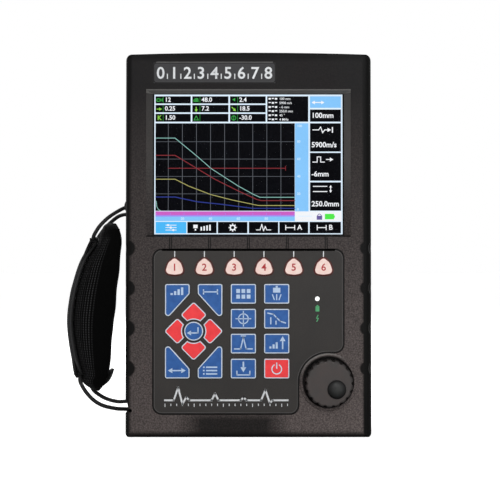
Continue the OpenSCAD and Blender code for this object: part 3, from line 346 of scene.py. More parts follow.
# Shade in the front's grooves, above the sole and in the knob's well; light on its ring and the bevel
def frontShades(paint, tone, x, y, z):
    beside = (abs(x) > zones["screenSide"]) * (z > zones["screenLow"]) * (z < zones["screenTop"])
    groove = paint.spread(y, *zones["groove"], 0, 0.85) * (abs(x) < zones["inside"])
    tone = paint.mix(groove * (1 - beside * 0.9), tone, "#050505")
    sole = paint.spread(abs(x - zones["patchX"]), *zones["patchWide"], 0.88, 0)
    tone = paint.mix(sole * paint.spread(z, *zones["patchTop"], 1, 0), tone, "#101010")
    away, up = x - zones["wellX"], z - zones["wellZ"]
    reach, slant = (away * away + up * up) ** 0.5, up - away * zones["slant"]
    well = (reach < zones["ringShade"]) * paint.spread(slant, *zones["shadeUp"], 0, 0.85)
    tone = paint.mix(well, tone, "#050505")
    glint = (reach > zones["ringIn"]) * (reach < zones["ringOut"])
    glint = glint * paint.spread(slant, *zones["ringUp"], 0, 0.6)
    within = abs(x) < zones["lipSide"]
    lip = (z > zones["lipLow"]) * (z < zones["lipTop"]) * within * 0.26
    bevel = beside * within * paint.spread(z, *zones["bevel"], 0, 1)
    bevel = bevel * paint.spread(x, *zones["middle"], 0.09, 0.14)
    return paint.mix(glint | bevel | lip, tone, "#a7a5a2")


def plasticPaint(name, colour, warm, grain=1.0, depth=0.05, roughness=0.5, body=False):
    paint = Paint(name, Specular_IOR_Level=0.08)
    coarse, fine, cells = paint.noise(38, 3), paint.noise(1300 * grain, 3, 0.65), paint.cells(900 * grain)
    x, y, z = paint.millimetres()
    tone = paint.mottle(coarse, colour, warm)
    if body:
        # Painted light: the front turns lighter towards its foot, and towards its right side low down
        low = paint.spread(z - x * paint.spread(z, *zones["lean"], 0.4, 0), *zones["lightFade"], 0.68, 0)
        tone = paint.mix(low, tone, "#8c807d")
        tone = paint.mix(paint.spread(y, *zones["back"], 0, 1), tone, rearTone)
    tone = paint.mottle(fine * 0.6 + cells * 0.4, tone, "#141315", 0.3, 0.62, 0.62)
    if body:
        tone = frontShades(paint, darkSides(paint, tone, x, y, z), x, y, z)
    return paint.coat(tone, fine * 0.6 + coarse * 0.4, roughness - 0.07, roughness + 0.09,
                      cells * 0.6 + fine, depth, 0.6)


def rubberPaint(name):
    paint = Paint(name, Specular_IOR_Level=0.15)
    dust = paint.noise(300, 4)
    tone = paint.mottle(dust, "#1c1c1e", "#3a3837", 0.4, 0.75, 0.5)
    return paint.coat(tone, dust, 0.62, 0.85, paint.noise(2600), 0.04)


def metalPaint(name, colour, stretch, roughness, shadeDepth=None):
    paint = Paint(name, Metallic=1.0)
    streak = paint.noise(900, 4, 0.6, paint.place(scale=stretch))
    tone = paint.mottle(paint.noise(120, 3), colour, "#6f6c68", 0.35, 0.75, 0.45)
    # Painted shade: below a given depth the steel is near-black, as in the hollow of a screw head
    if shadeDepth:
        x, y, z = paint.millimetres()
        tone = paint.mix(y < shadeDepth, tone, "#161616")
    return paint.coat(tone, streak, roughness - 0.1, roughness + 0.15, streak, 0.02, 0.5)


def filmPaint(name, colour, warm):
    paint = Paint(name, Specular_IOR_Level=0.14)
    cloud, grain = paint.noise(30, 3), paint.noise(2400, 2)
    tone = paint.mottle(grain, paint.mottle(cloud, colour, warm), "#161616", 0.4, 0.7, 0.2)
    return paint.coat(tone, grain, 0.42, 0.56, grain, 0.02, 0.4)


def boardPaint():
    paint = Paint("boardPaint", IOR=1.5)
    tracks = paint.node("TexBrick", {"offset": 0.37}, {
        "Vector": paint.place(scale=(1, 0, 1), turn=(quarter, 0, 0)), "Scale": 260.0, "Mortar Size": 0.05,
        "Color1": shade("#2c6a44"), "Color2": shade("#347a50"), "Mortar": shade("#1c4a2e")})
    pads = paint.cells(330)
    copper = pads < 0.16
    return paint.feed(Base_Color=paint.mix(copper, tracks, "#c8b27a"), Metallic=copper * 0.9,
                      Roughness=paint.spread(pads, 0, 0.6, 0.3, 0.5), Normal=paint.bump(pads, 0.05, 0.3))


def glassPaint():
    paint = Paint("windowPaint", Specular_IOR_Level=0.02, Base_Color=shade("#0b0d10"))
    smear = paint.noise(60, 4)
    return paint.feed(Alpha=paint.spread(smear, 0.35, 0.8, 0.01, 0.03),
                      Roughness=paint.spread(smear, 0.3, 0.8, 0.04, 0.14))


def lampPaint():
    paint = Paint("lampPaint", Emission_Strength=0.6, IOR=1.5)
    cloud = paint.noise(900, 2)
    glow = paint.mottle(cloud, "#e8ece8", "#ffffff")
    return paint.feed(Base_Color=glow, Emission_Color=glow,
                      Roughness=paint.spread(cloud, 0.3, 0.7, 0.25, 0.4))


def wrapPaint():
    paint = Paint("batteryWrap", IOR=1.48)
    fold = paint.noise(90, 4, 0.6, paint.place(scale=(1, 1, 5)))
    return paint.coat(paint.mottle(fold, "#2a5c92", "#35709f", 0.35), fold, 0.25, 0.42, fold, 0.05, 0.5)


rearTone = "#3b3839"
rearPaint = plasticPaint("rearPlastic", rearTone, "#444141", depth=0.09, roughness=0.55)
blackPaint = plasticPaint("blackPlastic", "#1a1a1c", "#232224", grain=1.4, depth=0.02)
rubber = rubberPaint("blackRubber")
finishes = [
    (plasticPaint("bodyPlastic", "#181717", "#1f1c1c", depth=0.09, body=True), "front_housing"),
    (rearPaint, "rear_housing", "battery_door"),
    (rubber, "housing_seal", "rear_feet", "port_cover"),
    (filmPaint("plateFilm", "#343436", "#3d3c3e"), "name_plate"),
    (filmPaint("panelFilm", "#353332", "#3b3836"), "keypad_panel"),
    (blackPaint, "buzzer", "charge_socket", "stand"),
    (boardPaint(), "keypad_board", "main_board"),
    (metalPaint("sheetSteel", "#b4b7ba", (6, 1, 1), 0.4), "display_bracket", "pulser_shield", "encoder_body"),
    (metalPaint("turnedSteel", "#a6a8ab", (1, 9, 1), 0.28), "encoder_shaft", "door_pin", "stand_pin",
     "strap_pins"),
    (metalPaint("screwSteel", "#a6a8ab", (1, 9, 1), 0.28, shadeDepth=26.75), "housing_screws"),
    (metalPaint("coinSteel", "#b0b2b5", (9, 1, 1), 0.3, shadeDepth=29.95), "battery_screw"),
    (metalPaint("nickelPlate", "#a5a5a0", (1, 1, 7), 0.24), "probe_socket_send", "probe_socket_receive",
     "data_socket"),
    (metalPaint("brassContact", "#c79a4a", (5, 1, 1), 0.3), "battery_contacts"),
    (glassPaint(), "screen_window"), (lampPaint(), "charge_lamp"), (wrapPaint(), "battery_pack"),
]
for finish, *names in finishes:
    for name in names:
        for holder in nodes[name].material_slots:
            holder.material = finish
print("CAD nodes painted")


# Flat printed marks, all facing the front: x and z in mm, y is the surface that they lie on
def flat(primitive, x, y, z, turn=0.0, **more):
    primitive(location=(x * mm, y * mm, z * mm), rotation=(quarter, turn, 0), **more)
    return bpy.context.object


def bar(x, y, z, wide, high, turn=0.0):
    made = flat(bpy.ops.mesh.primitive_plane_add, x, y, z, turn, size=mm)
    made.scale = (wide, high, 1)
    return made


def disc(x, y, z, radius, corners=24, turn=0.0):
    return flat(bpy.ops.mesh.primitive_circle_add, x, y, z, turn, radius=radius * mm,
                vertices=corners, fill_type="NGON")


# An arrow's head, which points up before its turn
def head(x, y, z, size, turn=0.0):
    return disc(x, y, z, size, 3, turn)


def ring(x, y, z, radius, wide, corners=28, gap=0.0):
    made = disc(x, y, z, radius, corners)
    bpy.ops.object.mode_set(mode="EDIT")
    openUp(wide)
    if gap:
        pick(faces=lambda f: abs(f.calc_center_median().x) < gap * mm and f.calc_center_median().y > 0)
        bpy.ops.mesh.delete(type="FACE")
    leaveEdit()
    return made


typeShare = 1.38  # capitals are 0.725 of the type size


def word(letters, x, y, z, high, bold=0.0, align="CENTER"):
    made = flat(bpy.ops.object.text_add, x, y, z)
    made.data.body, made.data.size, made.data.offset = letters, high * mm * typeShare, bold * mm
    made.data.align_x, made.data.align_y = align, "CENTER"
    made.data.resolution_u = 3
    bpy.ops.object.convert(target="MESH")
    return bpy.context.object


# Bars along a line of points: x and z of their middles, length, width and turn
def strokes(points, wide):
    made = []
    for (x0, z0), (x1, z1) in zip(points, points[1:]):
        length = math.hypot(x1 - x0, z1 - z0) + wide
        made.append(((x0 + x1) / 2, (z0 + z1) / 2, length, wide, -math.atan2(z1 - z0, x1 - x0)))
    return made


def zigzag(points, y, wide):
    return [bar(x, y, z, *more) for x, z, *more in strokes(points, wide)]


# Outline through circular corners given as x, z, radius, anticlockwise from the front
def roundOutline(corners, steps=7):
    points, normals = [], []
    for i, (x0, z0, r0) in enumerate(corners):
        x1, z1, r1 = corners[(i + 1) % len(corners)]
        length = math.hypot(x1 - x0, z1 - z0)
        ux, uz = (x1 - x0) / length, (z1 - z0) / length
        lean = (r0 - r1) / length
        side = math.sqrt(1 - lean * lean)
        normals.append(math.atan2(lean * uz - side * ux, lean * ux + side * uz))
    for i, (x, z, r) in enumerate(corners):
        sweep = (normals[i] - normals[i - 1]) % (2 * math.pi)
        for k in range(steps + 1):
            angle = normals[i - 1] + sweep * k / steps
            points.append((x + r * math.cos(angle), z + r * math.sin(angle)))
    return points


def boxOutline(wide, high, radius):
    x, z = wide / 2 - radius, high / 2 - radius
    return roundOutline([(-x, -z, radius), (x, -z, radius), (x, z, radius), (-x, z, radius)])


def circle(radius, sides):
    turns = [2 * math.pi * k / sides for k in range(sides)]
    return [(radius * math.cos(turn), radius * math.sin(turn)) for turn in turns]


# A flat face that looks forward, drawn out from a disc to its outline
def sheetOf(name, outline, x, z, front, turn=0.0):
    made = startPiece(bpy.ops.mesh.primitive_circle_add, name, vertices=len(outline), radius=mm,
                      fill_type="NGON", rotation=(quarter, 0, 0))
    mesh = bmesh.from_edit_mesh(made.data)
    for point, (px, pz) in zip(mesh.verts, outline):
        sx = px * math.cos(turn) - pz * math.sin(turn)
        sz = px * math.sin(turn) + pz * math.cos(turn)
        point.co = Vector((x + sx, front, z + sz)) * mm
    bmesh.update_edit_mesh(made.data)
    bpy.ops.mesh.normals_make_consistent(inside=False)
    bpy.ops.mesh.select_all(action="SELECT")
    return made


touching = 1e-6  # two places closer than this, in metres, are the same


def roundFrontEdge(front, edge):
    pick(edges=lambda e: all(abs(v.co.y - front * mm) < touching for v in e.verts))
    bpy.ops.mesh.bevel(offset=edge * mm, segments=3, affect="EDGES")


# A slab with a rounded front edge
def slab(name, outline, x, z, front, back, edge, turn=0.0):
    made = sheetOf(name, outline, x, z, front, turn)
    bpy.ops.mesh.extrude_region_move(TRANSFORM_OT_translate={"value": (0, (back - front) * mm, 0)})
    bpy.ops.mesh.select_all(action="SELECT")
    bpy.ops.mesh.normals_make_consistent(inside=False)
    if edge:
        roundFrontEdge(front, edge)
    return made


def frontFace(front):
    return lambda f: f.normal.y < -0.99 and abs(f.calc_center_median().y - front * mm) < touching


# Keys: printed silicone, with a pale border round a coloured face
keys = {
    "front": -31.7, "back": -27.0, "edge": 0.25, "border": 0.45, "dish": 0.1, "dishEdge": 0.3,
    "flatEdge": 0.1, "print": 0.02, "slack": 0.01, "signGrow": 1.2, "rowsZ": 73.1, "columnX": (-3.45, 19.45),
    "rowPitch": 17.1, "wide": 17.3, "high": 13.5, "corner": 1.2, "clusterX": -37.6, "arrowOff": 11.2,
    "arrowSide": 12.9, "arrowCorner": 1.9, "bite": 8, "biteDepth": 10, "biteJoin": 0.3, "enter": 6.5,
}
softKey = {
    "count": 6, "x": 0.45, "z": 117.4, "pitch": 20.5, "border": 0.15, "numberHigh": 5, "numberDrop": 0.6,
    "numberBold": 0.12, "halfWide": 6.2, "low": 5.4, "lowRound": 3.1, "foot": 5.8, "footRound": 9,
    "bulgeLow": 0.3, "bulge": 5.4, "tip": 6, "tipRound": 2.4, "rimOut": 0.75, "rimWide": 0.55, "rimY": -30.52,
}
# Corner keys, measured from the middle of their cluster
cornerKey = {
    "inner": 2.8, "outer": 19.7, "low": 10.4, "step": 8, "corner": 1.5, "point": 2.1, "signX": 0.3,
    "signDrop": 5.4,
}
# The keys' signs, measured from their middles: mark, x, z, then what that mark wants
signs = {
    "key_gain": [(bar, 2 * k - 3, 0.55 * k - 1.25, 1.3, 1.1 * k + 1.1) for k in range(4)],
    "key_gate": [(bar, 0, 0, 8.6, 0.7), (bar, -4, 0, 0.7, 3), (bar, 4, 0, 0.7, 3)],
    "key_range": [(bar, 0, 0, 5.4, 0.7), (head, -3.4, 0, 1.7, -quarter), (head, 3.4, 0, 1.7, quarter)],
    "key_menu": [(bar, x, k * 1.9, wide, 0.85) for x, wide in ((0.7, 6.4), (-3.8, 0.9)) for k in (-1, 0, 1)],
    "key_channel": [(bar, x, z, 2.1, 2.3) for x in (-3, 0, 3) for z in (-1.6, 1.6)],
    "key_probe": [(bar, 0, 2.1, 4.2, 2.8), (bar, 0, 4, 1.2, 1.2)]
    + [(bar, k * 1.9, -1.9, 0.6, 3.4, k * 0.35) for k in (-1, 0, 1)],
    "key_calibrate": [(ring, 0, 0, 3.1, 0.6), (bar, 0, 0, 9, 0.6), (bar, 0, 0, 0.6, 9)],
    "key_curve": [(bar, *s) for s in strokes([(-5, 3.2), (-2, 2.6), (0, 0.6), (2, -1.4), (5, -2.4)], 0.7)]
    + [(bar, -3.4, -1.2, 0.7, 4), (bar, -0.4, -2.2, 0.7, 2.2)],
    "key_peak": [(bar, *s) for s in strokes([(-5, -3), (-1.6, -3), (0, 3.6), (1.6, -3), (5, -3)], 0.7)]
    + [(bar, 0, 4.4, 3, 0.6)],
    "key_auto_gain": [(bar, 1.8 * k - 3.6, 0.6 * k - 2.2, 1.2, 1.2 * k + 1.2) for k in range(3)]
    + [(bar, 3.4, -0.9, 0.8, 4.6), (head, 3.4, 2.4, 1.9)],
    "key_store": [(bar, 0, 2.2, 0.9, 3.6), (head, 0, -0.2, 1.9, math.pi), (bar, 0, -3.6, 8, 0.7),
                  (bar, -3.7, -2.5, 0.7, 2.6), (bar, 3.7, -2.5, 0.7, 2.6)],
    "key_power": [(ring, 0, -0.3, 3.1, 0.65, 28, 1.3), (bar, 0, 1.7, 0.7, 3.6)],
    "key_enter": [(bar, 0.4, -1, 4.6, 0.7), (bar, 2.5, 0.5, 0.7, 3.4), (head, -2.3, -1, 1.6, -quarter)],
}


def keyPaint(name, colour, deep):
    paint = Paint(name, Specular_IOR_Level=0.2)
    cloud, grain = paint.noise(220, 3), paint.noise(3000, 2)
    return paint.coat(paint.mottle(cloud, colour, deep), grain, 0.42, 0.54, grain, 0.015, 0.5)


# Slot: face, border and legend
keyWhite = keyPaint("keyWhite", "#dfe8f2", "#cfdcea")
keyFinishes = {
    "key_blue": (keyPaint("keyBlue", "#3567ad", "#2b589b"), keyWhite,
                 keyPaint("legendPale", "#c4d8f0", "#b4cbe8")),
    "key_red": (keyPaint("keyRed", "#ff464a", "#f23e44"), keyWhite, keyWhite),
    "key_blush": (keyPaint("keyBlush", "#ffe8df", "#f9d8ce"), keyPaint("keyRim", "#8a4640", "#763733"),
                  keyPaint("legendRed", "#c23c3c", "#ad3034")),
}


def finishKey(made, node, slot, legend=(), middle=(0, 0), grow=1, border=keys["border"]):
    front, (x, z) = keys["front"], middle
    behind = keys["back"] if slot == "key_blush" else front + keys["edge"]
    for finish in keyFinishes[slot]:
        made.data.materials.append(finish)
    pick(faces=lambda f: all(v.co.y < (behind + keys["slack"]) * mm for v in f.verts))
    giveMaterial(1)
    pick(faces=frontFace(front))
    bpy.ops.mesh.inset(thickness=border * mm)
    giveMaterial(0)
    bpy.ops.mesh.inset(thickness=keys["dishEdge"] * mm, depth=-keys["dish"] * mm)
    bpy.ops.mesh.inset(thickness=keys["flatEdge"] * mm)
    leaveEdit()
    y = front + keys["dish"] - keys["print"]
    marks = [kind(x + off * grow, y, z + up * grow, *more) for kind, off, up, *more in legend]
    for mark in marks:
        mark.scale *= grow
    cover(marks, keyFinishes[slot][2])
    joinAll([made] + marks, node + "_cap")
    endPiece(node, replaced=[node])


def cap(node, outline, x, z, edge=keys["edge"], turn=0.0):
    return slab(node + "_cap", outline, x, z, keys["front"], keys["back"], edge, turn)


def softKeys():
    size, rims = softKey, []
    side, low = size["halfWide"] - size["lowRound"], size["lowRound"] - size["low"]
    bulge = (0, -size["bulgeLow"], size["bulge"])
    foot, tip = size["footRound"] - size["foot"], size["tip"] - size["tipRound"]
    corners = [(-side, low, size["lowRound"]), (0, foot, size["footRound"]), (side, low, size["lowRound"]),
               bulge, (0, tip, size["tipRound"]), bulge]
    wider = roundOutline([(x, z, r + size["rimOut"]) for x, z, r in corners])
    rimPaint = filmPaint("softRim", "#5a2a28", "#4c2423")
    for i in range(size["count"]):
        def number(x, y, z):
            return word(str(i + 1), x, y, z, size["numberHigh"], size["numberBold"])

        x, z, node = size["x"] + (i - 2.5) * size["pitch"], size["z"], f"key_f{i + 1}"
        made = cap(node, roundOutline(corners), x, z)
        finishKey(made, node, "key_blush", [(number, 0, -size["numberDrop"])], (x, z), 1, size["border"])
        rims.append(sheetOf(node + "_rim", wider, x, z, size["rimY"]))
        openUp(size["rimWide"])
    cover(rims, rimPaint)
    joinAll(rims, "soft_key_rims")
    endPiece("case")


def signedKey(node, slot, outline, x, z, middle=None):
    finishKey(cap(node, outline, x, z), node, slot, signs[node], middle or (x, z), keys["signGrow"])


def blockKeys():
    names = ["channel", "probe", "calibrate", "curve", "peak", "auto_gain", "store", "power"]
    outline = boxOutline(keys["wide"], keys["high"], keys["corner"])
    for i, name in enumerate(names):
        slot = "key_red" if name == "power" else "key_blue"
        x, z = keys["columnX"][i % 2], keys["rowsZ"] + (1.5 - i // 2) * keys["rowPitch"]
        signedKey("key_" + name, slot, outline, x, z)


def cornerKeys():
    inner, outer, low, step, corner, point, signX, signDrop = cornerKey.values()
    top = 1.5 * keys["rowPitch"] + keys["high"] / 2
    base = [(inner + point, top - step + point, point), (outer - point, low + point, point),
            (outer - corner, top - corner, corner), (inner + corner, top - corner, corner)]
    for node, sx, sz in (("key_gain", -1, 1), ("key_gate", 1, 1), ("key_range", -1, -1), ("key_menu", 1, -1)):
        corners = [(sx * x, sz * z, r) for x, z, r in base]
        outline = roundOutline(corners if sx * sz > 0 else corners[::-1])
        x, z = keys["clusterX"], keys["rowsZ"]
        middle = x + sx * ((inner + outer) / 2 + signX), z + sz * (top - signDrop)
        signedKey(node, "key_blue", outline, x, z, middle)


def arrowKeys():
    x0, z0, side = keys["clusterX"], keys["rowsZ"], keys["arrowSide"]
    outline = boxOutline(side, side, keys["arrowCorner"])
    for name, ax, az in (("up", 0, 1), ("down", 0, -1), ("left", -1, 0), ("right", 1, 0)):
        node = "key_" + name
        made = cap(node, outline, x0 + ax * keys["arrowOff"], z0 + az * keys["arrowOff"], 0, math.pi / 4)
        boreOut(made, x0, keys["front"], z0, keys["bite"], keys["biteDepth"])
        takeUp(made)
        bpy.ops.object.mode_set(mode="EDIT")
        bpy.ops.mesh.select_all(action="SELECT")
        bpy.ops.mesh.remove_doubles(threshold=keys["biteJoin"] * mm)
        roundFrontEdge(keys["front"], keys["edge"])
        finishKey(made, node, "key_red")


softKeys()
blockKeys()
cornerKeys()
arrowKeys()
signedKey("key_enter", "key_blue", circle(keys["enter"], 48), keys["clusterX"], keys["rowsZ"])
print("keys made")


# Screen picture: places are in mm from the lit area's upper left corner, u to the right and v down
screen = {
    "left": -65.2, "top": 236.8, "wide": 130.4, "high": 97.0, "margin": 1.2, "corner": 0.8, "edge": 0.3,
    "frame": 0.6, "front": -25.0, "back": -19.6, "layer": 0.03, "curveLayer": 0.018, "info": (78.3, 106.8),
    "side": (108, 129.5), "columns": ((0.65, 25.1), (26.2, 51.3), (52.4, 77.2)),
    "rows": ((0.9, 5.9), (6.9, 12.1), (13.1, 18.6)), "sideHead": 8.9,
    "sideRows": ((10.1, 18.6), (19.7, 39.4), (40.3, 59.7), (60.8, 80.5)), "plot": (0.65, 97.4),
    "plotRows": (19.7, 80.6), "gridTop": 20.4, "scaleRows": (21.6, 79.6), "gridU": 9.78, "gridV": 12.1,
    "gridLine": 0.36, "gridRow": 0.3, "strip": (97.6, 106.9), "base": (81, 84.3, 84.6, 87.7),
    "status": (97.6, 129.9, 81, 87.8), "tabRows": (88.3, 96.2),
    "tabs": ((0.85, 22.1), (22.8, 43.1), (44, 64.5), (65.5, 85.9), (86.7, 106.7), (107.7, 129.4)),
}
inks = {
    "frame": "#dff0ff", "black": "#030305", "white": "#f2f4f8", "sky": "#86c6fa", "tab": "#4db8f7",
    "pale": "#c3e4ff", "green": "#3fae4c", "lime": "#8fd44a", "grid": "#5d6168", "magenta": "#cc62c4",
    "violet": "#a08df0", "cyan": "#8ec4bc", "red": "#8c3238", "redDark": "#7c2b30", "yellow": "#b4b06a",
    "blue": "#2f3c8f", "battery": "#52e84a", "lock": "#6b5f9c",
}
readings = (("12", "48.0", "2.4"), ("0.25", "7.2", "18.5"), ("1.50", "", "-30.0"))
notes = ("100 mm", "5900 m/s", "- 6 mm", "250.0 mm", "45 °", "4 MHz")
sideValues = ("100mm", "5900m/s", "-6mm", "250.0mm")
# Echo height curves over the plot: ink, line width, points
curves = [
    ("cyan", 0.45, ((0.85, 30), (14.2, 30), (29.7, 42.8), (39.4, 51.3), (58.2, 63.4), (68.2, 68.9),
                    (73.1, 71.2), (97.4, 71.2))),
    ("red", 0.5, ((0.85, 42), (14.2, 42), (29.7, 51.3), (41.8, 58.6), (58.2, 66.8), (71, 72.7),
                  (74, 73.5), (97.4, 73.5))),
    ("yellow", 0.45, ((0.85, 58.6), (14.2, 58.6), (23.7, 63.4), (38.8, 69.2), (54, 73.1),
                      (72.2, 76.9), (97.4, 76.9))),
    ("blue", 0.6, ((0.85, 71), (14.2, 71), (29.7, 74.3), (46.7, 76.1), (68.5, 78.9), (97.4, 78.9))),
    ("red", 0.45, ((9.5, 51), (91, 51))),
    ("cyan", 0.4, ((1.2, 74), (1.6, 77.6), (2.6, 79.6), (4, 80.4))),
    ("redDark", 0.45, ((91, 49.6), (91, 52.4))),
]
lowLayer, highLayer = screen["front"] - screen["layer"], screen["front"] - 2 * screen["layer"]
curveLayer = highLayer - screen["curveLayer"]
picture = []


def tint(made, ink):
    takeUp(made)
    bpy.ops.geometry.color_attribute_add(name="tint", domain="CORNER", data_type="FLOAT_COLOR",
                                         color=shade(inks[ink]))
    picture.append(made)


def tile(u0, u1, v0, v1, ink="black", y=lowLayer):
    tint(bar(screen["left"] + (u0 + u1) / 2, y, screen["top"] - (v0 + v1) / 2, u1 - u0, v1 - v0), ink)


def patch(u0, u1, v0, v1, ink="white", y=highLayer):
    tile(u0, u1, v0, v1, ink, y)


def drawLine(points, wide, ink="white", y=highLayer):
    for piece in zigzag([(screen["left"] + u, screen["top"] - v) for u, v in points], y, wide):
        tint(piece, ink)


def text(words, u, v, high, ink="white", align="LEFT", bold=0.09):
    tint(word(words, screen["left"] + u, highLayer, screen["top"] - v, high, bold, align), ink)


def sign(kind, u, v, size, ink="white", *more):
    tint(kind(screen["left"] + u, highLayer, screen["top"] - v, size, *more), ink)


def screenPaint():
    paint = Paint("screenPicture", Emission_Strength=1.02, Specular_IOR_Level=0.01)
    picked = paint.node("Attribute", {"attribute_name": "tint"})
    columns = paint.node("TexWave", {"bands_direction": "X"}, {
        "Vector": paint.place(), "Scale": 1050.0, "Distortion": 0.0}, 1)
    haze = paint.noise(70, 3)
    glow = paint.mix(paint.spread(columns, 0, 1, 0, 0.16), picked, "#000000")
    glow = paint.mottle(haze, glow, "#9ab4d8", 0.3, 0.75, 0.002)
    return paint.feed(Base_Color=paint.mix(0.86, glow, "#050507"), Emission_Color=glow,
                      Roughness=paint.spread(haze, 0.3, 0.7, 0.3, 0.4))


def drawReadings():
    for (v0, v1), values in zip(screen["rows"], readings):
        for (u0, u1), value in zip(screen["columns"], values):
            tile(u0, u1, v0, v1)
            patch(u0 + 5.2, u0 + 5.4, v0, v1, "green")
            text(value, u0 + 6.4, (v0 + v1) / 2, 3.1)
    text("CH", 1.1, 3.65, 2.3, "green")
    text("dB", 26.8, 3.65, 2.5, "green")
    text("K", 1.9, 16, 3.2, "lime")
    sign(head, 55.3, 3.2, 1.3, "green", 0.6)
    sign(head, 3.8, 9.8, 1.3, "lime", quarter)
    patch(1.3, 3.6, 9.5, 10.1, "lime")
    sign(head, 28.9, 10.6, 1.3, "lime", math.pi)
    patch(28.6, 29.2, 8.2, 10.4, "lime")
    sign(head, 55.6, 10.4, 1.3, "lime", 2.3)
    drawLine([(53.8, 8.6), (55.2, 10)], 0.6, "lime")
    drawLine([(27.4, 17.4), (28.9, 14.6), (30.4, 17.4), (27.4, 17.4)], 0.4, "green")
    sign(ring, 55, 16, 1.7, "green", 0.45)
    patch(54.8, 55.2, 14.2, 17.8, "green")


# Three short blocks stand for the words before each value
def drawNotes():
    u0, u1 = screen["info"]
    tile(u0, u1, screen["rows"][0][0], screen["rows"][2][1])
    for k, note in enumerate(notes):
        v = 2.7 + k * 2.88
        for j in range(3):
            patch(u0 + 0.9 + j * 2.2, u0 + 2.5 + j * 2.2, v - 0.7, v + 0.5 - 0.5 * ((j + k) % 2))
        text(note, u0 + 8.4, v, 1.7, bold=0.02)


def echoSign(u, v):
    drawLine([(u + 2, v), (u + 6, v), (u + 7.4, v - 2), (u + 8.8, v + 2), (u + 10.2, v), (u + 12, v)], 0.6)
    sign(head, u + 13, v, 1.7, "white", quarter)
    patch(u + 15.2, u + 16, v - 2, v + 2)


def pulseSign(u, v):
    drawLine([(u + 2, v + 1.8), (u + 5, v + 1.8), (u + 5, v - 1.8), (u + 7.4, v - 1.8), (u + 7.4, v + 1.8),
              (u + 10, v + 1.8)], 0.6)
    drawLine([(u + 11.4, v), (u + 14, v)], 0.6)
    sign(head, u + 14.6, v, 1.6, "white", quarter)


def thickSign(u, v):
    for side in (-1.8, 1.8):
        patch(u + 2, u + 12, v + side - 0.3, v + side + 0.3)
    patch(u + 14, u + 14.6, v - 1.4, v + 1.4)
    sign(head, u + 14.3, v - 1.6, 1.1)
    sign(head, u + 14.3, v + 1.6, 1.1, "white", math.pi)


def drawSide():
    u0, u1 = screen["side"]
    tile(u0, u1, screen["rows"][0][0], screen["sideHead"], "sky")
    for k, (v0, v1) in enumerate(screen["sideRows"]):
        tile(u0, u1, v0, v1)
        text(sideValues[k], u0 + 1, v1 - 4.6 if k else (v0 + v1) / 2, 3.7, bold=0.1)
    drawLine([(u0 + 2, 5.2), (u0 + 9, 5.2)], 0.7)
    sign(head, u0 + 2.6, 5.2, 1.5, "white", -quarter)
    sign(head, u0 + 8.6, 5.2, 1.5, "white", quarter)
    for drawn, (v0, v1) in zip((echoSign, pulseSign, thickSign), screen["sideRows"][1:]):
        drawn(u0, v0 + 4.6)


def drawPlot():
    (p0, p1), (q0, q1), top, (s0, s1) = [screen[k] for k in ("plot", "plotRows", "gridTop", "strip")]
    tile(p0, p1, q0, q1)
    half = screen["gridLine"] / 2
    for k in range(1, 10):
        u = p0 + screen["gridU"] * k - 0.9
        patch(u - half, u + half, q0, q1, "grid")
    half = screen["gridRow"] / 2
    for k in range(1, 5):
        v = top + screen["gridV"] * k
        patch(p0, p1, v - half, v + half, "grid")
    for ink, wide, points in curves:
        drawLine(points, wide, ink, curveLayer)
    v0, v1, v2, v3 = screen["base"]
    tile(s0, s1, q0, v0, "sky")
    for k in range(6):
        v = min(max(top + screen["gridV"] * k, screen["scaleRows"][0]), screen["scaleRows"][1])
        text(str(100 - 20 * k), s0 + 1.4, v, 1.7, "pale")
    tile(p0, p1, v0, v1, "magenta")
    patch(p0, p1, 83.6, v2, "violet")
    tile(p0, p1, v2, v3, "sky")
    for k in range(11):
        patch(p0 + 0.6 + 9.55 * k, p0 + 0.9 + 9.55 * k, 82.2, 83.4, "violet", curveLayer)
    for k in range(1, 5):
        text(str(20 * k), 19.4 * k, 86.1, 1.8, "pale", "CENTER")
    tile(*screen["status"], "white")
    patch(118.3, 124.6, 82.7, 86.5, "battery")
    patch(124.6, 125.2, 83.8, 85.4, "battery")
    patch(112.6, 116.4, 84, 86.8, "lock")
    sign(ring, 114.5, 84.1, 1.5, "lock", 0.5)
    patch(100, 109.4, 84, 84.6, "frame")


def slidersSign(u, v):
    for j in (-1, 0, 1):
        row, spot = v + 1.7 * j, u - 0.2 + 1.8 * j
        drawLine([(u - 3.6, row), (u + 3.6, row)], 0.45)
        patch(spot - 0.6, spot + 0.6, row - 0.7, row + 0.7)


def probeSign(u, v):
    patch(u - 6, u - 3, v - 2, v + 0.4)
    patch(u - 5, u - 4, v + 0.9, v + 2.1)
    for j in range(4):
        patch(u - 1 + 2 * j, u + 0.1 + 2 * j, v - 0.5 - 0.5 * j, v + 2.1)


def gearSign(u, v):
    sign(ring, u, v, 2.1, "white", 0.9, 16)
    for au, av in circle(2.4, 8):
        sign(bar, u + au, v - av, 0.9, "white", 0.7, -math.atan2(av, au))


def waveSign(u, v):
    points = [(-5, 1.6), (-2.4, 1.6), (-1.2, -2.2), (0, 2.2), (1.2, -0.8), (2.2, 1.6), (5, 1.6)]
    drawLine([(u + a, v + b) for a, b in points], 0.55)


def gateSign(letter):
    def drawn(u, v):
        drawLine([(u - 5.6, v - 1.5), (u - 5.6, v + 1.5)], 0.6)
        drawLine([(u - 5.6, v), (u + 0.6, v)], 0.6)
        drawLine([(u + 0.6, v - 1.5), (u + 0.6, v + 1.5)], 0.6)
        text(letter, u + 2.4, v, 3.6, bold=0.08)
    return drawn


def drawTabs():
    v0, v1 = screen["tabRows"]
    drawings = (slidersSign, probeSign, gearSign, waveSign, gateSign("A"), gateSign("B"))
    for drawn, (u0, u1) in zip(drawings, screen["tabs"]):
        tile(u0, u1, v0, v1, "tab" if drawn == slidersSign else "black")
        drawn((u0 + u1) / 2, (v0 + v1) / 2)


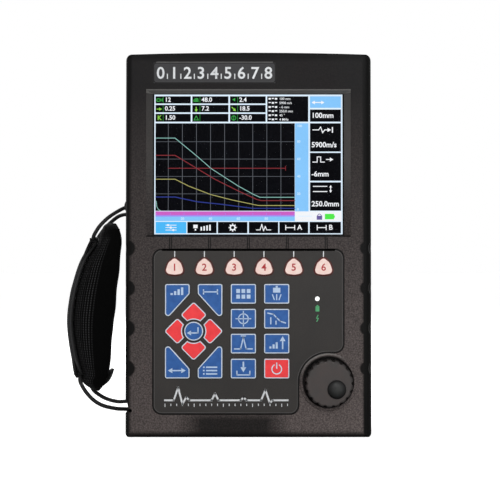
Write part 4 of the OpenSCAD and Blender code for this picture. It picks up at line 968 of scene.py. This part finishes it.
def makeDisplay():
    wide, high, margin, front = screen["wide"], screen["high"], screen["margin"], screen["front"]
    outline = boxOutline(wide + 2 * margin, high + 2 * margin, screen["corner"])
    x, z = screen["left"] + wide / 2, screen["top"] - high / 2
    box = slab("display_body", outline, x, z, front, screen["back"], screen["edge"])
    pick(faces=frontFace(front))
    bpy.ops.mesh.inset(thickness=screen["frame"] * mm)
    tint(box, "frame")
    drawReadings()
    drawNotes()
    drawSide()
    drawPlot()
    drawTabs()
    cover(picture, screenPaint())
    joinAll(picture, "display_picture")
    endPiece("case", replaced=["display_panel"])


makeDisplay()
print("display made")


# White print on the plate and the keypad, and painted highlight and shade round the plate
printPaint = filmPaint("whitePrint", "#eceef0", "#dadddf")
plate = {
    "y": -30.53, "x": -23.4, "z": 251.3, "wide": 84.6, "tall": 14.4, "rim": 0.7, "corner": 2.2, "shine": 0.4,
    "shineIn": 4, "first": -60.6, "pitch": 9.3, "numbers": 9, "high": 8.3, "drop": 0.5, "bold": 0.18,
    "tick": (0.7, 3.6), "tickDrop": 2.4,
}
panel = {
    "y": -30.52, "stem": (123.6, 128.1), "stemWide": 0.7, "left": -57.3, "right": 26.9, "low": 22.2,
    "trace": 1.25, "traceRise": 3.4, "ticks": 21, "tickWide": 0.55, "tickTall": (2.2, 1.6), "tickLift": 0.3,
    "chargeX": 47.5, "chargeZ": (80.6, 81.9, 83.2, 88.4, 90.6),
}
# The echo trace on the panel: mm from its left end, and mm above its base line
traceShape = [
    (0, 0), (6, 0), (9, 8.7), (12, -2.6), (14.6, 2.2), (16.6, 0), (32, 0), (34.4, 4.6), (36.8, 0), (52, 0),
    (54, 2), (56, 0), (66, 0), (69, 7.1), (72, -1.8), (74, 0), (84.2, 0),
]


def finishPrint(pieces, name, paint):
    cover(pieces, paint)
    joinAll(pieces, name)
    endPiece("case")


def printPlate():
    x, y, z, wide, tall = [plate[k] for k in ("x", "y", "z", "wide", "tall")]
    pieces = []
    for i in range(plate["numbers"]):
        spot = plate["first"] + plate["pitch"] * i
        pieces.append(word(str(i), spot, y, z - plate["drop"], plate["high"], plate["bold"]))
        if i < plate["numbers"] - 1:
            pieces.append(bar(spot + plate["pitch"] / 2, y, z - plate["tickDrop"], *plate["tick"]))
    finishPrint(pieces, "plate_scale", printPaint)
    # Painted highlight along the plate's top edge, and painted shade in a ring round the plate
    light = bar(x, y, z + tall / 2 + plate["shine"] / 2, wide - plate["shineIn"], plate["shine"])
    finishPrint([light], "plate_highlight", filmPaint("plateGlint", "#6a6a69", "#787775"))
    dark = sheetOf("plate_shade", boxOutline(wide, tall, plate["corner"]), x, z, y)
    openUp(plate["rim"])
    finishPrint([dark], "plate_shade", filmPaint("plateShade", "#0c0c0c", "#141314"))


def printPanel():
    y, low, high = panel["y"], *panel["stem"]
    pieces = []
    for i in range(softKey["count"]):
        x = softKey["x"] + (i - 2.5) * softKey["pitch"]
        pieces.append(bar(x, y, (high + low) / 2, panel["stemWide"], high - low))
    left, right, low = panel["left"], panel["right"], panel["low"]
    pieces += zigzag([(left + a, low + panel["traceRise"] + b) for a, b in traceShape], y, panel["trace"])
    for k in range(panel["ticks"] + 1):
        x, short = left + k * (right - left) / panel["ticks"], k % 5 > 0
        pieces.append(bar(x, y, low + short * panel["tickLift"], panel["tickWide"], panel["tickTall"][short]))
    finishPrint(pieces, "panel_print", printPaint)
    x, (boltLow, boltMid, boltTop, battery, cell) = panel["chargeX"], panel["chargeZ"]
    pieces = [bar(x, y, battery, 2.6, 3.6), bar(x, y, cell, 1.2, 0.7), bar(x, y, boltTop, 0.6, 2.4, 0.5),
              bar(x, y, boltLow, 0.6, 2.4, 0.5), bar(x, y, boltMid, 1.8, 0.6)]
    finishPrint(pieces, "charge_mark", filmPaint("greenPrint", "#5fb27c", "#4c9c69"))


printPlate()
printPanel()
print("prints made")


# Rings drawn one from the other by extruding and scaling about the axis: radius and y, in mm
def drawRings(rings, x, z, start):
    radius, y = start
    for nextRadius, nextY in rings:
        bpy.ops.mesh.extrude_region_move(TRANSFORM_OT_translate={"value": (0, (nextY - y) * mm, 0)})
        share = nextRadius / radius
        bpy.ops.transform.resize(value=(share, 1, share), center_override=(x * mm, nextY * mm, z * mm))
        radius, y = nextRadius, nextY


knob = {
    "x": 55, "z": 37.9, "radius": 16.2, "back": -28.5, "front": -39.5, "flutes": 18, "fluteRadius": 1.5,
    "bite": 1.1, "edge": ((0.22, 0.2), (0.6, 0), (1.6, 0)), "shoulder": 0.6, "rimShade": (14.4, 15.6),
    "rimSlant": (-12, 20), "seat": 1, "seatGap": 0.15,
}
spinner = {"x": 60.066, "z": 33.827, "radius": 6.3, "dome": 2.5, "domeTip": 0.3, "shade": (1, 5.2)}


def flutedOutline(steps=4):
    radius, small = knob["radius"], knob["fluteRadius"]
    away = radius + small - knob["bite"]
    half = math.acos((radius ** 2 + away ** 2 - small ** 2) / (2 * radius * away))
    sweep = math.asin(radius * math.sin(half) / small)
    pitch = 2 * math.pi / knob["flutes"]
    points = []
    for i in range(knob["flutes"]):
        middle = Vector((math.cos(i * pitch), math.sin(i * pitch))) * away
        for k in range(-steps, steps + 1):
            turn = i * pitch + math.pi - sweep * k / steps
            points.append(tuple(middle + Vector((math.cos(turn), math.sin(turn))) * small))
        for k in range(1, steps):
            turn = i * pitch + half + (pitch - 2 * half) * k / steps
            points.append((radius * math.cos(turn), radius * math.sin(turn)))
    return points


def knobPaint():
    paint = Paint("knobPlastic", Specular_IOR_Level=0.16)
    cloud, grain = paint.noise(120, 3), paint.noise(2600, 3)
    x, y, z = paint.millimetres(knob["x"], knob["z"])
    # Painted shade: the knob darkens towards its fluted edge, most at the upper left
    rim = paint.spread((x * x + z * z) ** 0.5, *knob["rimShade"], 0, 0.7)
    rim = rim * paint.spread(x - z, *knob["rimSlant"], 1, 0.75)
    tone = paint.mix(rim, paint.mottle(cloud, "#464342", "#4c4543"), "#060606")
    return paint.coat(tone, grain, 0.38, 0.52, grain, 0.02, 0.5)


def domePaint():
    paint = Paint("domePlastic", Specular_IOR_Level=0.22)
    cloud = paint.noise(500, 3)
    x, y, z = paint.millimetres(spinner["x"], spinner["z"])
    # Painted shade: the dome darkens from its middle out to its edge
    tone = paint.mix(paint.spread((x * x + z * z) ** 0.5, *spinner["shade"], 0, 1), "#303130", "#050505")
    tone = paint.mottle(cloud, tone, "#151515", 0.35, 0.7, 0.3)
    return paint.coat(tone, cloud, 0.4, 0.55, cloud, 0.02, 0.4)


def makeKnob():
    x, z, front, radius, shoulder = [knob[k] for k in ("x", "z", "front", "radius", "shoulder")]
    made = slab("knob_turned", flutedOutline(), x, z, front + shoulder, knob["back"], 0)
    pick(faces=frontFace(front + shoulder))
    drawRings([(radius - a, front + b) for a, b in knob["edge"]], x, z, (radius, front + shoulder))
    boreOut(made, spinner["x"], front, spinner["z"], spinner["radius"] + knob["seatGap"], knob["seat"])
    cover([made], knobPaint())
    endPiece("knob", replaced=["knob"])


def makeSpinner():
    x, z, radius, dome, tip = [spinner[k] for k in ("x", "z", "radius", "dome", "domeTip")]
    front = knob["front"]
    made = slab("spinner_turned", circle(radius, 64), x, z, front, front + knob["seat"], 0)
    pick(faces=frontFace(front))
    leans = [k * math.pi / 18 for k in range(1, 9)]
    rings = [(radius * math.cos(lean), front - dome * math.sin(lean)) for lean in leans]
    drawRings(rings + [(tip, front - dome)], x, z, (radius, front))
    cover([made], domePaint())
    endPiece("knob_spinner", replaced=["knob_spinner"])


makeKnob()
makeSpinner()
print("knob made")


# Painted shade in the seam along the keypad panel's edge and in the lines from the panel to the screen;
# a fine painted highlight runs just inside the seam
seam = {
    "half": 65.7, "low": 16.1, "top": 129.4, "corner": 6, "stepX": 34.6, "stepZ": 58.3, "reach": 20.4,
    "wide": 0.75, "glint": 0.45, "topWide": 1.15, "y": -30.515, "pitch": 26.8, "off": 0.75, "line": 0.6,
    "screenZ": 137.9, "screenGap": 0.8, "lines": 5,
}


def panelOutline():
    half, low, top, r = seam["half"], seam["low"], seam["top"], seam["corner"]
    arcs = [(-half + r, low + r, r, 180, 270, 10), (seam["stepX"] - r, low + r, r, 270, 360, 10),
            (knob["x"], knob["z"], seam["reach"], 180, 90, 24),
            (half - r, seam["stepZ"] + r, r, 270, 360, 10),
            (half - r, top - r, r, 0, 90, 10), (-half + r, top - r, r, 90, 180, 10)]
    points = []
    for x, z, radius, start, stop, steps in arcs:
        for k in range(steps + 1):
            angle = math.radians(start + (stop - start) * k / steps)
            points.append((x + radius * math.cos(angle), z + radius * math.sin(angle)))
    return points


def makeSeam():
    y, top, rise = seam["y"], seam["top"], seam["screenZ"] - seam["top"]
    pieces = [sheetOf("panel_seam", panelOutline(), 0, 0, y)]
    openUp(seam["wide"])
    leaveEdit()
    pieces.append(bar(0, y, top - seam["topWide"] / 2, 2 * (seam["half"] - seam["corner"]), seam["topWide"]))
    for i in range(seam["lines"]):
        for side in (-1, 1):
            x = (i - (seam["lines"] - 1) / 2) * seam["pitch"] + side * seam["off"]
            pieces.append(bar(x, y, top + rise / 2, seam["line"], rise - seam["screenGap"]))
    finishPrint(pieces, "panel_seam", filmPaint("seamShade", "#0b0a0a", "#131110"))
    light = sheetOf("panel_glint", panelOutline(), 0, 0, y)
    bpy.ops.mesh.inset(thickness=seam["wide"] * mm)
    bpy.ops.mesh.select_mode(type="FACE")
    bpy.ops.mesh.select_all(action="INVERT")
    bpy.ops.mesh.delete(type="FACE")
    bpy.ops.mesh.select_all(action="SELECT")
    openUp(seam["glint"])
    finishPrint([light], "panel_glint", filmPaint("panelGlint", "#545251", "#4c4a49"))


makeSeam()
print("seam made")


# Hand strap: webbing folded round two cords, with a pad on it
strap = {
    "side": -85, "reach": 42.1, "lowZ": 18.4, "topZ": 157.4, "pinX": -81.4, "half": 10, "layer": 1.5,
    "layerOff": 0.8, "corner": 0.35, "foldTop": (-28.2, -20), "foldLow": (-37.4, 20.6), "foldOff": 2.1,
    "foldRun": 3, "cord": 1.4, "webbed": (41, 135.4), "webbing": 3.2, "tailLift": 0.4, "tailWide": 0.94,
    "tailThick": 1.4, "shadeTop": (118, 132), "shadeLow": (50, 42),
}
pad = {
    "low": 29.3, "tall": 119.4, "gap": 0.3, "swell": (5, 3.4), "swellRun": 4, "swellLate": 2, "wing": 26.3,
    "rearPull": 6.5, "arcSize": 24, "thick": 5.2, "thickLeast": 0.7, "edge": 3.2, "stations": 30, "arc": 22,
    "back": 0.2, "cut": 0.6, "innerTurn": 86, "voxel": 2, "pressure": 4, "frames": 20, "mostMove": 1.1,
    "piping": 0.75, "pipingOut": -0.1, "seam": 0.4, "seamOut": 0.05, "seamTurn": 40, "edgeSteps": 40,
    "slopeStep": 0.1, "netIn": (3, 7), "netOut": (23, 27), "netTop": (136, 141),
}
bowShares = [
    (0.4, 0.931), (0.5, 0.881), (0.684, 0.79), (0.798, 0.724), (0.888, 0.639), (0.95, 0.56), (0.995, 0.437),
    (0.955, 0.312), (0.868, 0.192), (0.755, 0.12), (0.555, 0.075),
]
wingShares = [
    (0, 0.4), (0.03, 0.6), (0.1, 0.78), (0.22, 0.94), (0.5, 1), (0.78, 0.95), (0.9, 0.82), (0.97, 0.6),
    (1, 0.38),
]
edgeShares = [
    (0, 0.47), (0.03, 0.39), (0.06, 0.33), (0.1, 0.28), (0.18, 0.24), (0.34, 0.195), (0.5, 0.14),
    (0.68, 0.09), (0.8, 0.06), (0.9, 0.052), (0.96, 0.09), (1, 0.19),
]
tailShares = [(0.5, 0.1), (0.42, 0.112), (0.355, 0.14), (0.31, 0.18)]
cordTop = [
    (2.8, 0, 0.2), (1.8, -0.7, 2.2), (-0.8, -1.4, 2.8), (-6.5, -3.6, 2.2), (-12.5, -7, -1.2),
    (-18, -10.4, -5.4), (-23.4, -12, -11), (-27, -12.2, -16.6), (-28.2, -11.2, -19.4), (-28.2, -9.8, -20),
    (-28.2, -5, -20), (-28.2, 0, -20), (-28.2, 5, -20), (-28.2, 9.8, -20), (-28.2, 11.2, -19.4),
    (-26.6, 12.2, -16.6), (-22, 11.8, -10.8), (-14, 8.4, -4.2), (-7.5, 4, -2.3), (-0.8, 1.4, -2.8),
    (1.9, 0.7, -2),
]
cordLow = [
    (2.8, 0, 0), (1.9, -0.7, -2), (-0.8, -1.4, -2.8), (-6.5, -3.6, -2.2), (-12.4, -6.6, -1.5),
    (-21, -10.2, 1), (-27.5, -11.8, 5), (-33, -12.4, 11), (-36.6, -12.2, 17), (-37.4, -11.2, 20),
    (-37.4, -9.8, 20.6), (-37.4, -5, 20.6), (-37.4, 0, 20.6), (-37.4, 5, 20.6), (-37.4, 9.8, 20.6),
    (-37.4, 11.2, 20), (-35.6, 12.2, 16.6), (-33, 12.2, 12.6), (-30, 11.8, 8.4), (-22.5, 10.4, 3.9),
    (-13.6, 7, 1.9), (-6.5, 3.6, 2.4), (-0.8, 1.4, 2.8), (1.9, 0.7, 2),
]
across, upward = Vector((0, 1, 0)), Vector((0, 0, 1))


def smoothLine(points, steps, closed=False):
    count = len(points)
    line = []
    for i in range(count if closed else count - 1):
        near = [(i + k) % count if closed else min(max(i + k, 0), count - 1) for k in (-1, 0, 1, 2)]
        a, b, c, d = [points[n] for n in near]
        for k in range(steps):
            t = k / steps
            bend = (a * 2 - b * 5 + c * 4 - d) + (b * 3 - a - c * 3 + d) * t
            line.append(b + ((c - a) + bend * t) * (t / 2))
    return line if closed else line + [points[-1]]


def lookUp(table, value):
    table = sorted(table)
    value = min(max(value, table[0][0]), table[-1][0])
    for (a, first), (b, second) in zip(table, table[1:]):
        if value <= b:
            return first + (second - first) * (value - a) / (b - a)


def strapPoint(share):
    tall = strap["topZ"] - strap["lowZ"]
    return Vector((strap["side"] - strap["reach"] * share[0], 0, strap["lowZ"] + tall * share[1]))


# Rounds of one section carried along a path, without twist
def carry(path, section, side, closed=False):
    count = len(path)
    rounds, along = [], None
    for i, centre in enumerate(path):
        ahead = path[(i + 1) % count] if closed else path[min(i + 1, count - 1)]
        heading = (ahead - path[i - 1 if closed else max(i - 1, 0)]).normalized()
        if along:
            side = along.rotation_difference(heading) @ side
        side = (side - heading * side.dot(heading)).normalized()
        along = heading
        up = along.cross(side)
        rounds.append([centre + side * s + up * u for s, u in section])
    return rounds


# Distances along a closed line of points, from its first one
def milestones(points):
    marks = [0]
    for here, following in zip(points, points[1:] + points[:1]):
        marks.append(marks[-1] + (following - here).length)
    return marks


# A surface through rounds of points, extruded from a circle round by round, with a map of millimetres
def loft(name, rounds, closed=False):
    count = len(rounds[0])
    made = startPiece(bpy.ops.mesh.primitive_circle_add, name, vertices=count, radius=mm,
                      fill_type="NOTHING" if closed else "NGON")
    mesh = bmesh.from_edit_mesh(made.data)
    slots = {}
    for k, point in enumerate(mesh.verts):
        point.co = rounds[0][k] * mm
        slots[point.index] = (0, k)
    bmesh.update_edit_mesh(made.data)
    bpy.ops.mesh.select_all(action="SELECT")
    for i, places in enumerate(rounds[1:], 1):
        bpy.ops.mesh.extrude_region_move()
        mesh = bmesh.from_edit_mesh(made.data)
        mesh.verts.index_update()
        for point in [v for v in mesh.verts if v.select]:
            old = next(e.other_vert(point) for e in point.link_edges if not e.other_vert(point).select)
            slots[point.index] = (i, slots[old.index][1])
            point.co = places[slots[point.index][1]] * mm
        bmesh.update_edit_mesh(made.data)
    if closed:
        pick(edges=lambda e: e.is_boundary)
        bpy.ops.mesh.bridge_edge_loops()
    bpy.ops.mesh.select_all(action="SELECT")
    bpy.ops.mesh.normals_make_consistent(inside=False)
    leaveEdit()
    reach, girth = milestones([points[0] for points in rounds]), milestones(rounds[0])
    layer = made.data.uv_layers.new(name="wrap")
    for face in made.data.polygons:
        spots = [slots[v] for v in face.vertices]
        endRound = max(i for i, k in spots) - min(i for i, k in spots) > 1
        endSlot = max(k for i, k in spots) - min(k for i, k in spots) > 1
        for loop, (i, k) in zip(face.loop_indices, spots):
            i, k = -1 if endRound and i == 0 else i, -1 if endSlot and k == 0 else k
            layer.data[loop].uv = (reach[i], girth[k])
    return made


def webbingPaint():
    paint = Paint("wovenWebbing", Specular_IOR_Level=0.1)
    u, v, w = paint.parts(paint.node("TexCoord", out="UV"))
    weave = (v * 5.2).wave() * 0.5 + (u * 3.4 + (v * 2.6).wave() * 1.2).wave() * 0.5
    fuzz = paint.noise(900, 4, 0.6)
    tone = paint.mottle(weave, "#161617", "#3c3c3d", -1, 1)
    tone = paint.mottle(fuzz, tone, "#474747", 0.35, 0.7, 0.5)
    stitch = ((u * 2.1).wave() > -0.2) * (abs(v - 3) < 0.45)
    x, y, z = paint.millimetres()
    # Painted shade: the webbing darkens towards its top and bottom ends
    ends = paint.spread(z, *strap["shadeTop"], 0, 0.85) | paint.spread(z, *strap["shadeLow"], 0, 0.85)
    tone = paint.mix(ends, paint.mix(stitch * 0.8, tone, "#6b6b6b"), "#080808")
    return paint.coat(tone, fuzz, 0.75, 0.95, weave + fuzz + stitch * 1.5, 0.25, 0.8)


def braidPaint():
    paint = Paint("braidedCord", Specular_IOR_Level=0.2)
    u, v, w = paint.parts(paint.node("TexCoord", out="UV"))
    weave = (u * 2.4 + v * 3).wave() | (u * 2.4 - v * 3).wave()
    fuzz = paint.noise(1500, 3)
    tone = paint.mottle(fuzz, paint.mottle(weave, "#040404", "#19191a", -0.4, 1), "#3a3a3a", 0.4, 0.7, 0.3)
    return paint.coat(tone, fuzz, 0.5, 0.75, weave, 0.2, 0.9)


# Knitted mesh: the arc is the distance from the pad's middle round to its edge
def meshPaint():
    paint = Paint("padMesh", Specular_IOR_Level=0.04)
    arc = paint.node("Attribute", {"attribute_name": "arc"}, out=2)
    x, y, z = paint.millimetres()
    knit = ((arc * 3.05).wave() | 0) * ((z * 3.7).wave() * 0.4 + 0.6)
    fuzz = paint.noise(1200, 4, 0.65)
    # Painted light: pale knit ridges only in a lit band below the pad's top; the rest is painted shade
    litBand = paint.spread(arc, *pad["netOut"], 1, 0) * paint.spread(arc, *pad["netIn"], 0, 1)
    litBand = litBand * paint.spread(z, *pad["netTop"], 1, 0)
    tone = paint.mix(paint.spread(knit, 0.05, 0.75, 0, 1) * litBand, "#020202", "#3a3a3b")
    tone = paint.mottle(fuzz, tone, "#0d0d0e", 0.4, 0.75, 0.3)
    return paint.coat(tone, fuzz, 0.8, 0.97, knit * litBand + fuzz * 0.5, 0.3, 0.7)


def pipingPaint():
    paint = Paint("pipingCloth", Specular_IOR_Level=0.08)
    loops, cloud = paint.noise(2200, 4, 0.7), paint.noise(150, 3)
    return paint.coat(paint.mottle(cloud, "#0b0b0c", "#131314"), loops, 0.8, 0.98, loops, 0.25, 0.8)


bow = smoothLine([strapPoint(share) for share in bowShares], 4)
bowHeights = [(p.z, p.x) for p in bow]


def makeWebbing():
    ends = [Vector((strap["pinX"] + x, 0, base + z)) for (x, z), base in
            ((strap["foldTop"], strap["topZ"]), (strap["foldLow"], strap["lowZ"]))]
    covered = [p for p in bow if strap["webbed"][0] < p.z < strap["webbed"][1]]
    last = len(covered) - 1
    outer, inner, normals = [], [], []
    for i, p in enumerate(covered):
        heading = (covered[min(i + 1, last)] - covered[max(i - 1, 0)]).normalized()
        normals.append(Vector((heading.z, 0, -heading.x)))
        loosened = max(0, 1 - min(i, last - i) / strap["foldRun"])
        off = strap["layerOff"] + (strap["foldOff"] - strap["layerOff"]) * loosened
        outer.append(p - normals[i] * off)
        inner.append(p + normals[i] * off)

    def turn(centre, start):
        leans = [Matrix.Rotation(-math.pi * k / 8, 3, "Y") for k in range(1, 8)]
        return [centre + (lean @ start) * strap["foldOff"] for lean in leans]

    path = outer + turn(ends[1], -normals[-1]) + inner[::-1] + turn(ends[0], normals[0])
    half, thick, r = strap["half"], strap["layer"] / 2, strap["corner"]
    below = [(-half, -thick + r), (-half + r, -thick), (0, -thick), (half - r, -thick), (half, -thick + r)]
    section = below + [(-s, -u) for s, u in below]
    body = loft("webbing_loop", carry(path, section, across, True), True)
    tail = smoothLine([strapPoint(share) + upward * strap["tailLift"] for share in tailShares], 3)
    narrow = [(s * strap["tailWide"], u * strap["tailThick"]) for s, u in section]
    end = loft("webbing_tail", carry(tail, narrow, across))
    cover([body, end], webbingPaint())
    joinAll([body, end], "webbing")
    endPiece("case", 50, replaced=["strap_webbing"])


def makeCord(name, route, z):
    line = smoothLine([Vector(p) + Vector((strap["pinX"], 0, z)) for p in route], 5, True)
    cover([loft(name, carry(line, circle(strap["cord"], 10), upward, True), True)], braid)
    endPiece("case", 60, replaced=["strap_" + name])


# A place on the pad by its share of the height: x, z, depth round the bow and half width
def padPlace(share):
    z = pad["low"] + pad["tall"] * share
    step = pad["slopeStep"]
    slope = (lookUp(bowHeights, z + step) - lookUp(bowHeights, z - step)) / (2 * step)
    x = lookUp(bowHeights, z) + (strap["webbing"] / 2 + pad["gap"]) * math.sqrt(1 + slope * slope)
    low, high = strap["webbed"]
    for beyond, swell in zip((low - z, z - high - pad["swellLate"]), pad["swell"]):
        x -= swell * min(1, max(0, beyond / pad["swellRun"]))
    depth = strap["side"] - strap["reach"] * lookUp(edgeShares, share) - x
    return x, z, depth, pad["wing"] * lookUp(wingShares, share)


# The rear wing is a little shallower, so that the front one hides it from the camera
def padPoint(x, z, depth, wing, turn, thick=0, edge=0):
    deep = depth - pad["rearPull"] * max(0, math.sin(turn)) ** 2 - thick + edge / 3
    return Vector((x + thick + deep * (1 - math.cos(turn)), (wing - edge) * math.sin(turn), z))


def padRound(share):
    x, z, depth, wing = padPlace(share)
    place = x + pad["back"], z, depth - pad["cut"], wing
    thick = pad["thick"] * (pad["thickLeast"] + (1 - pad["thickLeast"]) * math.sin(math.pi * share))
    steps = [2 * k / pad["arc"] - 1 for k in range(pad["arc"] + 1)]
    inner = math.radians(pad["innerTurn"])
    return [padPoint(*place, quarter * step) for step in steps] + \
        [padPoint(*place, -inner * step, thick, pad["edge"]) for step in steps]


def inflate(made):
    takeUp(made)
    applyModifier("REMESH", mode="VOXEL", voxel_size=pad["voxel"] * mm)
    before = [v.co.copy() for v in made.data.vertices]
    cloth = made.modifiers.new("Cloth", "CLOTH")
    cloth.settings.use_pressure = True
    cloth.settings.uniform_pressure_force = pad["pressure"]
    cloth.settings.effector_weights.gravity = 0
    cloth.collision_settings.use_collision = False
    for step in range(1, pad["frames"] + 1):
        bpy.context.scene.frame_set(step)
    bpy.ops.object.modifier_apply(modifier=cloth.name)
    bpy.context.scene.frame_set(1)
    most = pad["mostMove"] * mm
    for point, old in zip(made.data.vertices, before):
        move = point.co - old
        if move.length > most:
            point.co = old + move * (most / move.length)
    applyModifier("SMOOTH", factor=0.5, iterations=4)
    applyModifier("SUBSURF", levels=1)


# A thin round strip laid on a mesh along a line of points
def strip(name, made, points, radius, sides, out, side=across):
    line = []
    for point in points:
        spot, normal = made.closest_point_on_mesh(point * mm)[1:3]
        line.append(spot / mm + normal * out)
    for turn in range(3):
        line = [line[0]] + [(a + b * 2 + c) / 4 for a, b, c in zip(line, line[1:], line[2:])] + [line[-1]]
    return loft(name, carry(line, circle(radius, sides), side))


def makePad():
    body = loft("pad_fabric", [padRound(k / (pad["stations"] - 1)) for k in range(pad["stations"])])
    body.data.uv_layers.remove(body.data.uv_layers[0])
    inflate(body)
    layer = body.data.attributes.new("arc", "FLOAT", "POINT")
    for point, value in zip(body.data.vertices, layer.data):
        place = point.co / mm
        x, z, depth, wing = padPlace((place.z - pad["low"]) / pad["tall"])
        value.value = pad["arcSize"] * math.atan2(abs(place.y) / wing, max(0, 1 - (place.x - x) / depth))
    shares = [k / pad["edgeSteps"] for k in range(pad["edgeSteps"] + 1)]
    rounds = [padRound(share) for share in shares]
    last, trims = pad["arc"], []
    for front in (0, last):
        edge = [(points[front] + points[2 * last + 1 - front]) / 2 for points in rounds]
        trims.append(strip("edge_piping", body, edge, pad["piping"], 8, pad["pipingOut"]))
    for side in (-1, 1):
        turn = math.radians(pad["seamTurn"]) * side
        seamLine = [padPoint(*padPlace(share), turn) for share in shares[1:-1]]
        trims.append(strip("pad_seam", body, seamLine, pad["seam"], 6, pad["seamOut"]))
    for points in (rounds[0], rounds[-1]):
        hem = [(points[k] + points[2 * last + 1 - k]) / 2 for k in range(last + 1)]
        trims.append(strip("pad_hem", body, hem, pad["piping"], 8, pad["pipingOut"], upward))
    cover([body], meshPaint())
    cover(trims, pipingPaint())
    joinAll([body] + trims, "pad")
    made = endPiece("case", 60, replaced=["strap_pad"])


makeWebbing()
braid = braidPaint()
makeCord("cord_top", cordTop, strap["topZ"])
makeCord("cord_bottom", cordLow, strap["lowZ"])
makePad()
print("strap made")


# Marks and grips on the rear and the side
rear = {
    "y": 30.53, "rise": 0.25, "sink": 0.3, "ribEdge": 0.12, "ribTall": 1.2, "ribRound": 0.5, "gripPitch": 2.6,
    "signZ": 243.5, "signRadius": 3.2, "signLine": 0.55, "stemWide": 0.6, "stemTall": 2.2, "headSize": 1.4,
    "standGrip": 26, "standLift": 3.6, "coverY": 12.5, "coverX": 84.98, "coverLow": 179, "coverWide": 9,
    "ribs": 3,
}
door = {
    "y": 30.23, "batteryZ": 66, "wide": 22, "tall": 11, "round": 1.6, "line": 0.8, "pole": (1.6, 4.4),
    "poleOff": 1.1, "signX": 6, "signSize": 4.4, "coinZ": 16.45, "reach": 9.2, "openBy": -2.1, "asideX": 1.4,
    "asideZ": 0.8, "arcTurns": (114, 125, 136, 147, 158), "dash": (0.5, 1.1), "gripWide": 36, "gripLow": 34,
    "ribs": 4, "rise": 0.6, "sunk": 0.03,
}


def finishRear(pieces, name, body):
    cover(pieces, printPaint)
    joinAll(pieces, name)
    bpy.ops.object.mode_set(mode="EDIT")
    bpy.ops.mesh.select_all(action="SELECT")
    bpy.ops.mesh.flip_normals()
    endPiece(body)


def padlock(x, y, z, openBy=0):
    return [bar(x, y, z, 3.8, 2.8), ring(x + openBy, y, z + 1.6, 1.55, 0.5, 16)]


def printDoor():
    y, z, line, wide, size = [door[k] for k in ("y", "batteryZ", "line", "wide", "signSize")]
    battery = sheetOf("battery_mark", boxOutline(wide, door["tall"], door["round"]), 0, z, y)
    openUp(line)
    leaveEdit()
    pieces = [battery, bar(-wide / 2 - door["poleOff"], y, z, *door["pole"])]
    for x, broad, high in ((-1, size, line), (-1, line, size), (1, size, line)):
        pieces.append(bar(x * door["signX"], y, z, broad, high))
    reach, coin = door["reach"], door["coinZ"]
    pieces += padlock(0, y, coin + reach, door["openBy"])
    pieces += padlock(-reach - door["asideX"], y, coin - door["asideZ"])
    for degrees in door["arcTurns"]:
        turn = math.radians(degrees)
        pieces.append(bar(reach * math.cos(turn), y, coin + reach * math.sin(turn), *door["dash"], -turn))
    finishRear(pieces, "door_print", "battery_door")


def printSockets():
    y, z = rear["y"], rear["signZ"]
    for node, outward in (("probe_socket_send", 1), ("probe_socket_receive", -1)):
        low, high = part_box(node)
        x = (low.x + high.x) / 2 / mm
        pieces = [ring(x, y, z, rear["signRadius"], rear["signLine"]),
                  bar(x, y, z - 0.9 * outward, rear["stemWide"], rear["stemTall"]),
                  head(x, y, z + 0.7 * outward, rear["headSize"], 0 if outward > 0 else math.pi)]
        finishRear(pieces, node + "_mark", "case")


# Raised ribs to hold by: a row of rounded slabs going up from a height
def grip(name, wide, x, low, surface, count, side=1, rise=rear["rise"]):
    ribs = []
    for k in range(count):
        outline = boxOutline(wide, rear["ribTall"], rear["ribRound"])
        ribs.append(slab(f"{name}_{k}", outline, x, low + k * rear["gripPitch"], surface + side * rise,
                         surface - side * rear["sink"], rear["ribEdge"]))
    leaveEdit()
    return joinAll(ribs, name)


def makeGrips():
    cover([grip("door_grip", door["gripWide"], 0, door["gripLow"], door["y"] - door["sunk"], door["ribs"],
                rise=door["rise"])], rearPaint)
    endPiece("battery_door")
    low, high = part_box("stand")
    lift = low.z / mm + rear["standLift"]
    cover([grip("stand_grip", rear["standGrip"], 0, lift, high.y / mm, rear["ribs"])], blackPaint)
    endPiece("stand")
    # drawn facing the front, then turned to face the right
    surface = rear["rise"] - rear["coverX"]
    made = grip("cover_grip", rear["coverWide"], rear["coverY"], rear["coverLow"], surface, rear["ribs"], -1)
    made.rotation_euler.z = quarter
    cover([made], rubber)
    endPiece("port_cover")


printDoor()
printSockets()
makeGrips()
print("rear marks made")
